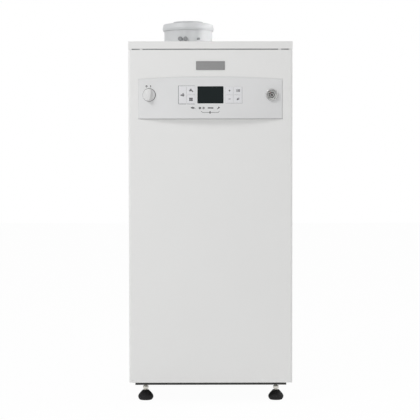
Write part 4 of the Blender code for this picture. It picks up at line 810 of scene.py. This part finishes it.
def skin_slab(low, high, proud, depth, corner, edge):
    """A rounded slab that follows the fascia's skin, proud of it and depth thick."""
    shape = bmesh.new()
    verts = add_slab(shape, (low.x, -proud, low.z), (high.x, depth - proud, high.z))
    round_off(shape, edges_of(verts, Y), corner, segments=4)
    face = min(shape.faces, key=lambda f: f.calc_center_median().y)
    if edge:
        round_off(shape, list(face.edges), edge)
    return drape(shape)


def make_keys():
    for node in key_nodes():
        low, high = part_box(node)
        shape = skin_slab(low, high, KEY_PROUD, KEY_DEPTH, KEY_CORNER, KEY_EDGE)
        piece(node + "_cap", shape, "key_plastic", node, [node])


def make_display():
    low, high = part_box("display_window")
    shape = skin_slab(low, high, -WINDOW_SINK, WINDOW_DEPTH, KEY_CORNER, 0)
    piece("display_pane", shape, "display_glass", "control_unit", ["display_window"])
    inset = Vector(LCD_MARGIN)
    shape = skin_slab(low + inset, high - inset, LCD_PROUD - WINDOW_SINK, LCD_PROUD * 2, FINE_LINE, 0)
    piece("display_lcd", shape, "lcd_glass", "control_unit")


def add_stroke(shape, centre, width, points, closed=False):
    """Adds a line through points, given in millimetres from centre; printed marks and painted shade lines
    both use it.
    """
    spots = [Vector((centre[0] + x / 1000, 0, centre[1] + z / 1000)) for x, z in points]
    if closed:
        spots.append(spots[0])
    for start, end in zip(spots, spots[1:]):
        run = end - start
        size = (run.length + width * STROKE_JOIN, 2 * MARK_LIFT, width)
        add_bar(shape, (start + end) / 2, math.atan2(run.z, run.x), size)


def add_mark(shape, centre, strokes):
    """Adds a mark made of strokes: a width, the points, and True if the line is closed."""
    for stroke in strokes:
        add_stroke(shape, centre, *stroke)


def arc_points(radius, start, end, count):
    """Points on an arc in millimetres, from start to end degrees."""
    angles = [math.radians(start + (end - start) * i / count) for i in range(count + 1)]
    return [(radius * math.cos(a), radius * math.sin(a)) for a in angles]


def radiator(scale):
    """Four columns between two headers."""
    columns = [(0.0022, [(x, -5.0), (x, 5.0)]) for x in (-4.6, -1.5, 1.5, 4.6)]
    headers = [(0.0018, [(-5.8, z), (5.8, z)]) for z in (-3.4, 3.4)]
    strokes = columns + headers
    return [(width * scale, [(x * scale, z * scale) for x, z in points]) for width, points in strokes]


def sun():
    """A small ring with six rays."""
    rays = []
    for degrees in range(0, 360, 60):
        turn = math.radians(degrees)
        rays.append((FINE_LINE, [(r * math.cos(turn), r * math.sin(turn)) for r in (2.8, 4.4)]))
    return [(0.0020, arc_points(2.4, 0, 360, 12)), *rays]


def heating_coil():
    """Five square waves in a row."""
    waves = []
    for i in range(5):
        x = -9.4 + 3.9 * i
        waves.append((0.0015, [(x, -1.7), (x, 1.7), (x + 2.0, 1.7), (x + 2.0, -1.7)]))
    return waves


FLAME_OUTLINE = [(1.4, 5.2), (4.0, 1.4), (4.6, -1.6), (3.0, -4.2), (0, -4.2), (-1.6, -1.6), (-0.6, 1.4)]
KEY_MARKS = {
    "mode_key": [
        (0.0019, FLAME_OUTLINE, True),
        (0.0022, [(1.4, 0.6), (1.6, -2.6)]),
        (0.0019, [(-7.4, -0.8), (-4.0, -0.8)]),
        (0.0019, [(-5.4, 1.6), (-3.4, -0.8), (-5.4, -3.2)]),
    ],
    "hot_water_key": [
        (0.0028, [(-6.0, -1.6), (2.0, -1.0), (5.4, -2.6), (6.0, -4.8)]),
        (0.0026, [(-0.6, -0.6), (-0.6, 3.6)]),
        (0.0024, [(-3.2, 3.8), (2.2, 3.8)]),
    ],
    "heating_key": radiator(1),
    "plus_key": [(MARK_LINE, [(-2.8, 0), (2.8, 0)]), (MARK_LINE, [(0, -2.8), (0, 2.8)])],
    "minus_key": [(MARK_LINE, [(-3.0, 0), (3.0, 0)])],
    "menu_key": [
        *[(0.0016, [(-5.4, z), (-0.4, z)]) for z in (-3.0, 0, 3.0)],
        (0.0020, [(2.2, -3.0), (5.6, -3.0), (5.6, 3.4), (2.2, 3.4)], True),
    ],
    "enter_key": [
        (0.0022, [(3.2, 4.2), (3.2, -0.8), (-3.2, -0.8)]),
        (0.0022, [(-0.6, 2.0), (-3.2, -0.8), (-0.6, -3.6)]),
    ],
}

# The switch's two marks, the row of service marks under the display, and the bracket under it
FASCIA_MARKS = (
    ((-0.2215, SWITCH_MARKS_Z), [(0.0022, arc_points(2.4, 0, 360, 14))]),
    ((-0.2072, SWITCH_MARKS_Z), [(0.0024, [(0, -2.9), (0, 2.9)])]),
    ((-0.0605, ROW_Z), [(0.0026, [(-6.4, 0.8), (-1.6, 3.0), (3.8, 1.2), (0.6, -1.6)], True)]),
    ((-0.0605, ROW_Z), [(0.0016, [(5.2, -0.2), (7.6, -1.2)])]),
    ((-0.0365, ROW_Z), radiator(0.62)),
    ((-0.0240, ROW_Z), sun()),
    ((0.0010, ROW_Z), heating_coil()),
    ((0.0275, ROW_Z), [(0.0026, [(-3.4, -3.4), (2.0, 2.0)])]),
    ((0.0295, ROW_Z + 0.0020), [(0.0018, arc_points(2.0, 100, 350, 9))]),
    ((0, BRACKET_Z), [(0.0012, [(-32, 4.6), (-27.5, 0), (26.5, 0), (31, 4.6)])]),
    ((-0.0016, BRACKET_Z), [(0.0036, [(0, -3.0), (0, 3.4)])]),
)


def make_key_marks():
    for node, strokes in KEY_MARKS.items():
        low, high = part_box(node)
        shape = bmesh.new()
        add_mark(shape, ((low.x + high.x) / 2, (low.z + high.z) / 2), strokes)
        for vert in shape.verts:
            vert.co.y -= KEY_PROUD
        piece(node + "_mark", drape(shape), "grey_ink", node)


def make_fascia_marks():
    shape = bmesh.new()
    for centre, strokes in FASCIA_MARKS:
        add_mark(shape, centre, strokes)
    piece("fascia_marks", drape(shape), "grey_ink", "control_unit")


def group_bounds(nodes):
    """Left, lower, right and upper place, in millimetres, round some keys."""
    boxes = [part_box(node) for node in nodes]
    low = [min(getattr(box[0], axis) for box in boxes) * 1000 for axis in "xz"]
    high = [max(getattr(box[1], axis) for box in boxes) * 1000 for axis in "xz"]
    return *low, *high


def make_key_shade_lines():
    """Painted shade round the two groups of keys: lines where shade falls in the grooves round them, and
    a dash of painted shadow under two keys on the left.
    """
    gap = OUTLINE_GAP * 1000
    left, low, right, high = group_bounds(("mode_key", "heating_key", "hot_water_key"))
    strokes = [
        (MARK_LINE, [(left - gap, low - gap), (left - gap, high + gap)]),
        (FINE_LINE, [(left - gap, high + gap), (right, high + gap)]),
    ]
    for node in ("mode_key", "heating_key"):
        start, _, end, _ = group_bounds([node])
        strokes.append((MARK_LINE, [(start + gap, low - gap), (end - gap, low - gap)]))
    shape = bmesh.new()
    add_mark(shape, (0, 0), strokes)
    piece("left_key_painted_shade", drape(shape), "pale_painted_shade", "control_unit")
    left, low, right, high = group_bounds(("minus_key", "plus_key", "enter_key", "menu_key"))
    shape = bmesh.new()
    corner = [(left, low - gap), (right + gap, low - gap), (right + gap, high)]
    add_stroke(shape, (0, 0), FINE_LINE, corner)
    piece("right_key_painted_shade", drape(shape), "faint_painted_shade", "control_unit")


def make_switch_knob():
    """A shallow round cap with a raised grip across it."""
    back = KNOB_HIGH.y
    corners = [
        (0, FRONT - KNOB_CROWN, 0),
        (KNOB_RADIUS, FRONT - KNOB_EDGE - RIDGE_ROUND / 2, KNOB_ROUND),
        (KNOB_RADIUS, back, 0),
        (0, back, 0),
    ]
    shape = turned(rounded(corners), KNOB_CENTRE, Y, closed=False)
    grip = bmesh.new()
    low = (-RIDGE_HALF_WIDTH, KNOB_LOW.y, -RIDGE_HALF_LENGTH)
    verts = add_slab(grip, low, (RIDGE_HALF_WIDTH, FRONT - KNOB_EDGE, RIDGE_HALF_LENGTH))
    top = [e for e in edges_of(verts) if all(v.co.y < FRONT - KNOB_CROWN for v in e.verts)]
    round_off(grip, top, RIDGE_ROUND, segments=6)
    for i in range(1, RIDGE_CUTS):
        cut_across(grip, Z * RIDGE_HALF_LENGTH * (2 * i / RIDGE_CUTS - 1), Z)
    for vert in grip.verts:
        vert.co.x *= 1 - RIDGE_TAPER * (vert.co.z / RIDGE_HALF_LENGTH) ** 2
    place = Matrix.Translation((KNOB_CENTRE.x, 0, KNOB_CENTRE.z)) @ Matrix.Rotation(RIDGE_LEAN, 4, "Y")
    bmesh.ops.transform(grip, matrix=place, verts=grip.verts[:])
    copy = bpy.data.meshes.new("grip")
    grip.to_mesh(copy)
    grip.free()
    shape.from_mesh(copy)
    bpy.data.meshes.remove(copy)
    piece("switch_cap", shape, "knob_plastic", "main_switch_knob", ["main_switch_knob"], PLASTIC_EDGE)


def make_painted_shadow_rings():
    """A dark ring of painted shadow round the switch, wider on its upper right where the shade falls, and
    a hairline of painted shade round the gauge.
    """
    rings = (
        ("switch_painted_shadow", KNOB_CENTRE, KNOB_RADIUS, SURROUND_WIDTH, "painted_shadow_dark"),
        ("gauge_shade_hairline", GAUGE_CENTRE, GAUGE_RADIUS, HAIRLINE_WIDTH, "pale_painted_shade"),
    )
    for name, centre, radius, width, finish in rings:
        inner = radius + HOLE_GAP
        ring = band(inner, inner + width, -SURROUND_PROUD, MARK_LIFT)
        shape = turned(ring, (centre.x, 0, centre.z), Y)
        for vert in shape.verts:
            spoke = Vector((vert.co.x - centre.x, 0, vert.co.z - centre.z))
            if spoke.length > inner + width / 2:
                facing = (1 + spoke.normalized().dot(SHADOW_WIDE_SIDE)) / 2
                share = SHADOW_THIN_SHARE + (1 - SHADOW_THIN_SHARE) * facing
                spoke *= (inner + width * share) / spoke.length
                vert.co.x, vert.co.z = centre.x + spoke.x, centre.z + spoke.z
            vert.co.y += FRONT - fascia_reach(vert.co.x, vert.co.z)
        piece(name, shape, finish, "control_unit")


def make_gauge():
    """Bezel and case, dial with its scale, needle and lens."""
    front = GAUGE_LOW.y
    step = front + GAUGE_LENS_SINK
    dial_low, dial_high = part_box("gauge_dial")
    bore = (dial_high.x - dial_low.x) / 2 + FIT_GAP
    flange_radius = (GAUGE_HIGH.x - GAUGE_LOW.x) / 2
    corners = [
        (0, dial_high.y + FIT_GAP, 0),
        (bore, dial_high.y + FIT_GAP, 0),
        (bore, step, 0),
        (GAUGE_LENS_RADIUS + FIT_GAP, step, 0),
        (GAUGE_LENS_RADIUS + FIT_GAP, front, GAUGE_BEZEL_ROUND),
        (GAUGE_RADIUS, front, GAUGE_BEZEL_ROUND),
        (GAUGE_RADIUS, GAUGE_SEAT, 0),
        (flange_radius, GAUGE_SEAT, 0),
        (flange_radius, GAUGE_SEAT + GAUGE_FLANGE, 0),
        (GAUGE_BODY_RADIUS, GAUGE_SEAT + GAUGE_FLANGE, 0),
        (GAUGE_BODY_RADIUS, GAUGE_HIGH.y, 0),
        (0, GAUGE_HIGH.y, 0),
    ]
    shape = turned(rounded(corners), GAUGE_CENTRE, Y, closed=False)
    piece("gauge_housing", shape, "gauge_chrome", "control_unit", ["gauge_case"])
    make_dial(dial_low, dial_high)
    lens_low, lens_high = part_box("gauge_lens")
    radius = (lens_high.x - lens_low.x) / 2
    crown = [(0, lens_low.y), (radius * LENS_FLAT_SHARE, lens_low.y), (radius, lens_low.y + LENS_CROWN)]
    shape = turned([*crown, (radius, lens_high.y), (0, lens_high.y)], GAUGE_CENTRE, Y, closed=False)
    piece("gauge_pane", shape, "gauge_glass", "control_unit", ["gauge_lens"])
    refined("gauge_needle", "needle_paint", 0)
    low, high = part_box("gauge_needle")
    shape = turned(band(0, HUB_RADIUS, low.y - MARK_LIFT, high.y), GAUGE_CENTRE, Y, closed=False)
    piece("needle_hub", shape, "black_plastic", "gauge_needle", (), HUB_EDGE)


def make_dial(low, high):
    shape = turned(band(0, (high.x - low.x) / 2, low.y, high.y), GAUGE_CENTRE, Y, closed=False)
    piece("gauge_face", shape, "gauge_dial", "control_unit", ["gauge_dial"])
    marks = bmesh.new()
    for i in range(DIAL_TICKS + 1):
        angle = math.radians(90) + DIAL_SWEEP / 2 - DIAL_SWEEP * i / DIAL_TICKS
        length, width = SHORT_TICK if i % LONG_TICK_EVERY else LONG_TICK
        way = Vector((math.cos(angle), 0, math.sin(angle)))
        middle = Vector((GAUGE_CENTRE.x, low.y, GAUGE_CENTRE.z)) + way * (DIAL_TICK_RADIUS - length / 2)
        add_bar(marks, middle, angle, (length, MARK_LIFT, width))
    piece("gauge_scale", marks, "grey_ink", "control_unit")
    for name, inner, outer, finish in DIAL_RINGS:
        ring = band(inner, outer, low.y - MARK_LIFT, low.y)
        piece(name, turned(ring, GAUGE_CENTRE, Y), finish, "control_unit")


def make_badge():
    """The brushed plate above the fascia, with a shallow rim."""
    shape = bmesh.new()
    low = (-BADGE_HALF_WIDTH, FRONT - BADGE_THICKNESS, BADGE_CENTRE_Z - BADGE_HALF_HEIGHT)
    high = (BADGE_HALF_WIDTH, FRONT + SHEET_EDGE, BADGE_CENTRE_Z + BADGE_HALF_HEIGHT)
    verts = add_slab(shape, low, high)
    round_off(shape, edges_of(verts, Y), BADGE_CORNER, segments=4)
    face = min(shape.faces, key=lambda f: f.calc_center_median().y)
    bmesh.ops.inset_region(shape, faces=[face], thickness=BADGE_CORNER, depth=0)
    bmesh.ops.inset_region(shape, faces=[face], thickness=BADGE_STEP, depth=-BADGE_SINK)
    piece("badge_plate", shape, "badge_steel", "front_panel", (), TRIM_EDGE)


def raise_hem(shape):
    """Lifts a panel's lower edge, so that the base shows under it."""
    hem = min(vert.co.z for vert in shape.verts) + PANEL_HEM
    for vert in shape.verts:
        if vert.co.z < hem:
            vert.co.z += PANEL_LIFT


def make_front_panel():
    """The folded panel in one piece: its two solids joined at their seam."""
    nodes = ["front_panel", "front_panel_head"]
    lower, head = (shape_of(frame["nodes"][node].data) for node in nodes)
    raise_hem(lower)
    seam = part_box("front_panel_head")[0].z + MERGE
    for vert in head.verts:
        if vert.co.z < seam:
            vert.co.z -= SEAM_OVERLAP
    sheet = loose("panel_sheet", lower)
    combine(sheet, loose("panel_head", head), "UNION")
    shape = shape_of(sheet.data)
    bpy.data.objects.remove(sheet)
    join_flat_faces(shape)
    piece("front_panel_skin", shape, "white_coat", "front_panel", nodes, SHEET_EDGE)


def make_gap_pads():
    """Pads and peg sleeves under the cover's lip, on which the panel's top edge rests."""
    shape = bmesh.new()
    low, high = (FRONT + PAD_FRONT, PANEL_TOP + FIT_GAP), (FRONT + PAD_BACK, COVER_LIP + FIT_GAP)
    for near, far in (CORNER_PAD_SPAN, PEG_SPAN):
        add_pair(shape, near, far, low, high)
    piece("panel_rest_pads", shape, "white_coat", "casing", (), TRIM_EDGE)


def make_casing():
    make_front_panel()
    make_gap_pads()
    refined("top_cover", "white_coat")
    for node in ("left_side_panel", "right_side_panel"):
        refined(node, "white_coat", hem=True)
    refined("back_panel", "galvanised_steel", hem=True)
    for node in ("top_rear_rail", "top_front_rail", *(corner + "_post" for corner in CORNERS)):
        refined(node, "galvanised_steel")
    refined("base_tray", "base_paint")
    make_casing_screws()


def make_casing_screws():
    low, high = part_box("back_panel")
    inset, gaps = BACK_SCREW_INSET, BACK_SCREW_ROWS - 1
    rows = [low.z + inset + (high.z - low.z - 2 * inset) * i / gaps for i in range(BACK_SCREW_ROWS)]
    places = [(x, z) for x in (low.x + inset, high.x - inset) for z in rows]
    places += [(x, z) for x in (-BACK_SCREW_INNER, BACK_SCREW_INNER) for z in (rows[0], rows[-1])]
    screw_heads("back_panel_screws", places)
    screw_heads("cover_screws", [(x, COVER_TOP - COVER_SCREW_DROP) for x in COVER_SCREWS])


def make_flue():
    """The collar with its test ports and seals, the inner socket and the riser."""
    base, top = COLLAR_LOW.z, COLLAR_HIGH.z
    bore = COLLAR_RADIUS - COLLAR_WALL
    band_low = COVER_TOP + COLLAR_BAND_LOW
    centre = (FLUE_X, FLUE_Y, 0)
    corners = [
        (bore, top, COLLAR_LIP_ROUND),
        (COLLAR_BAND_RADIUS - BAND_TOP_DRAFT, top, COLLAR_ROUND),
        (COLLAR_BAND_RADIUS, band_low + BAND_WAIST, BAND_WAIST_ROUND),
        (COLLAR_BAND_RADIUS - BAND_LOW_DRAFT, band_low, COLLAR_LIP_ROUND),
        (COLLAR_RADIUS, band_low, COLLAR_NECK_ROUND),
        (COLLAR_RADIUS, base + COLLAR_FOOT, COLLAR_NECK_ROUND),
        (COLLAR_FOOT_RADIUS, base + COLLAR_FOOT, COLLAR_FOOT_ROUND),
        (COLLAR_FOOT_RADIUS, base, 0),
        (bore, base, 0),
    ]
    shape = turned(rounded(corners), centre, Z, steps=COLLAR_STEPS)
    piece("flue_collar_ring", shape, "flue_plastic", "casing", ["flue_collar"])
    make_ports()
    low, high = SOCKET_LOW.z, SOCKET_HIGH.z
    riser_low, riser_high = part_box("flue_riser")
    riser_radius = (riser_high.x - riser_low.x) / 2
    riser_bore = riser_radius - RISER_WALL
    inner = SOCKET_RADIUS - SOCKET_WALL
    stop = riser_high.z + FIT_GAP
    corners = [
        (SOCKET_RADIUS, high, SOCKET_ROUND),
        (SOCKET_RADIUS, low, SOCKET_ROUND),
        (riser_radius + FIT_GAP, low, 0),
        (riser_radius + FIT_GAP, stop, 0),
        (riser_bore, stop, 0),
        (riser_bore, stop + SOCKET_WALL, 0),
        (inner, stop + 2 * SOCKET_WALL, 0),
        (inner, high, SOCKET_ROUND),
    ]
    shape = turned(rounded(corners), centre, Z)
    piece("flue_socket", shape, "flue_plastic", "casing", ["flue_inner_socket"])
    tube = band(riser_bore, riser_radius, riser_high.z, riser_low.z)
    piece("flue_riser_tube", turned(tube, centre, Z), "flue_plastic", "casing", ["flue_riser"])
    add_seal("collar_seal", bore, top - COLLAR_SEAL_DROP, centre)
    add_seal("socket_seal", inner, high - SOCKET_SEAL_DROP, centre)


def add_seal(name, radius, height, centre):
    """A lip seal, half sunk in the bore."""
    angles = [2 * math.pi * i / SEAL_SIDES for i in range(SEAL_SIDES)]
    loop = [(radius + SEAL_RADIUS * math.cos(a), height + SEAL_RADIUS * math.sin(a)) for a in angles]
    piece(name, turned(loop, centre, Z), "seal_rubber", "casing")


def make_ports():
    """Flue gas test ports: two with screw caps, and a small blank one."""
    foot = Vector((FLUE_X, FLUE_Y, COVER_TOP + PORT_RISE))
    stubs, caps = bmesh.new(), bmesh.new()
    for turn, radius in PORTS:
        turn = math.radians(turn)
        way = Vector((math.sin(turn), -math.cos(turn), 0))
        stub_end = foot + way * (COLLAR_RADIUS + PORT_REACH - PORT_CAP)
        add_rod(stubs, foot + way * (COLLAR_RADIUS - COLLAR_WALL / 2), stub_end, radius * PORT_STUB_SHARE)
        tip = foot + way * (COLLAR_RADIUS + PORT_REACH)
        verts = add_rod(caps, stub_end, tip, radius, PORT_CAP_SIDES, radius * PORT_CAP_TIP_SHARE)
        round_off(caps, edges_of(verts, way), radius * PORT_CAP_ROUND_SHARE, segments=2)
    piece("test_port_stubs", stubs, "flue_plastic", "casing", (), PLASTIC_EDGE)
    piece("test_port_caps", caps, "port_cap", "casing", (), PLASTIC_EDGE)


def make_feet():
    """Bell shaped rubber pads, and threaded studs with their hexagon collars."""
    for corner in CORNERS:
        node = "foot_pad_" + corner
        low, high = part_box(node)
        centre = (low + high) / 2
        flare, drop = PAD_RADIUS - PAD_TOP_RADIUS, high.z - PAD_RIM_HEIGHT
        profile = [(0, PAD_SOCKET_FLOOR), (PAD_SOCKET_RADIUS, PAD_SOCKET_FLOOR)]
        profile.append((PAD_SOCKET_RADIUS, high.z))
        for i in range(PAD_STEPS + 1):
            share = i / PAD_STEPS
            bulge = math.sin(math.pi / 2 * share**PAD_FLARE_POWER)
            profile.append((PAD_TOP_RADIUS + flare * bulge, high.z - drop * share))
        for share in PAD_RIM_SHARES:
            profile.append((PAD_RADIUS - PAD_RIM_TUCK * share**2, PAD_RIM_HEIGHT * (1 - share)))
        profile.append((0, 0))
        shape = turned(profile, centre, Z, closed=False, steps=PAD_TURN_STEPS)
        piece(node + "_bell", shape, "foot_rubber", "foot_" + corner, [node])
        make_stud(corner, centre)


def make_stud(corner, centre):
    node = "foot_stud_" + corner
    low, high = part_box(node)
    profile = [(0, high.z), *thread(low.z, high.z), (0, low.z)]
    shape = turned(profile, centre, Z, closed=False, steps=STUD_TURN_STEPS)
    radius = NUT_ACROSS / 2 / math.cos(math.pi / 6)
    start = (centre.x, centre.y, NUT_LOW)
    verts = add_rod(shape, start, (centre.x, centre.y, NUT_LOW + NUT_HEIGHT), radius, 6)
    ends = [e for e in edges_of(verts) if abs(e.verts[0].co.z - e.verts[1].co.z) < MERGE]
    round_off(shape, ends, NUT_EDGE, segments=2)
    piece(node + "_rod", shape, "zinc", "stud_" + corner, [node])


def make_inside():
    """What stands behind the panels keeps its solids' shapes, with soft edges and finishes."""
    skins = (
        ("control_box", "black_plastic", PLASTIC_EDGE),
        ("circuit_board", "circuit_board", 0.0003),
        ("display_board", "circuit_board", 0.0003),
        ("main_switch_body", "black_plastic", PLASTIC_EDGE),
        ("boiler_vessel", "boiler_steel", 0.0008),
        ("insulation_jacket", "insulation_foam", 0.0030),
        ("vessel_stand", "galvanised_steel", SHEET_EDGE),
        ("flue_sump", "cast_aluminium", 0.0010),
        ("burner_tube", "boiler_steel", 0.0003),
        ("burner_hood", "cast_aluminium", CAST_EDGE),
        ("fan_housing", "cast_aluminium", 0.0010),
        ("fan_impeller", "black_plastic", 0),
        ("fan_motor", "black_plastic", 0.0010),
        ("venturi", "cast_aluminium", 0.0008),
        ("air_intake_pipe", "black_plastic", 0.0005),
        ("gas_valve", "cast_aluminium", 0.0008),
        ("gas_pipe", "pipe_steel", 0.0005),
        ("flow_pipe", "pipe_steel", 0.0005),
        ("return_pipe", "pipe_steel", 0.0005),
        ("drain_cock", "valve_brass", 0.0004),
        ("drain_lever", "lever_paint", 0.0003),
        ("condensate_siphon", "siphon_plastic", 0.0005),
    )
    for node, finish, edge in skins:
        refined(node, finish, edge)


def add_light(name, place, aim, size, power, spread):
    lamp = bpy.data.lights.new(name, "AREA")
    lamp.shape = "DISK"
    lamp.size = size
    lamp.energy = power
    lamp.spread = spread
    made = add_object(name, lamp)
    made.location = place
    made.rotation_mode = "QUATERNION"
    made.rotation_quaternion = (Vector(aim) - Vector(place)).to_track_quat("-Z", "Y")


def seen_directly(finish):
    """1 for camera, glossy and transmission rays, which see the background itself."""
    rays = ("Is Camera Ray", "Is Glossy Ray", "Is Transmission Ray")
    camera, glossy, through = (finish.node("ShaderNodeLightPath", {}, {}, ray) for ray in rays)
    return camera + glossy + through


def make_world():
    world = bpy.data.worlds.new("studio")
    bpy.context.scene.world = world
    finish = Finish(world)
    plain = finish.node("ShaderNodeBackground", {}, {"Color": WHITE, "Strength": WORLD_STRENGTH})
    white = finish.node("ShaderNodeBackground", {}, {"Color": WHITE, "Strength": 1.0})
    mixed = finish.node("ShaderNodeMixShader", {}, {0: seen_directly(finish), 1: plain, 2: white})
    finish.feed(finish.tree.nodes["World Output"].inputs["Surface"], mixed)


def make_floor():
    """White paper that fades into the background and keeps the object's shadow."""
    shape = bmesh.new()
    bmesh.ops.create_grid(shape, x_segments=1, y_segments=1, size=FLOOR_HALF)
    floor = loose("floor", shape)
    finish = Finish(bpy.data.materials.new("floor_paper"))
    finish.set(base_color=FLOOR_GREY, roughness=FLOOR_ROUGHNESS)
    glow = finish.node("ShaderNodeEmission", {}, {"Color": WHITE, "Strength": 1.0})
    paper = Wire(finish, finish.shader.outputs[0])
    share = seen_directly(finish) * FLOOR_GLOW
    mixed = finish.node("ShaderNodeMixShader", {}, {0: share, 1: paper, 2: glow})
    finish.feed(finish.tree.nodes["Material Output"].inputs["Surface"], mixed)
    floor.data.materials.append(finish.owner)


def make_camera():
    lens = bpy.data.cameras.new("camera")
    lens.lens = CAMERA_LENS
    lens.sensor_width = SENSOR_WIDTH
    camera = add_object("camera", lens)
    turn = Matrix.Rotation(CAMERA_YAW, 4, "Z") @ Matrix.Rotation(math.pi / 2 - CAMERA_PITCH, 4, "X")
    camera.matrix_world = Matrix.Translation(CAMERA_PLACE) @ turn @ Matrix.Rotation(-CAMERA_ROLL, 4, "Z")
    bpy.context.scene.camera = camera


def main():
    bpy.context.scene.view_settings.view_transform = "Standard"
    make_camera()
    make_world()
    make_floor()
    for name, values in LAMPS.items():
        add_light(name, *values)
    make_finishes()
    make_casing()
    make_fascia()
    make_arch_trim()
    make_keys()
    make_display()
    make_key_marks()
    make_fascia_marks()
    make_key_shade_lines()
    make_switch_knob()
    make_painted_shadow_rings()
    make_gauge()
    make_badge()
    make_flue()
    make_feet()
    make_inside()


main()
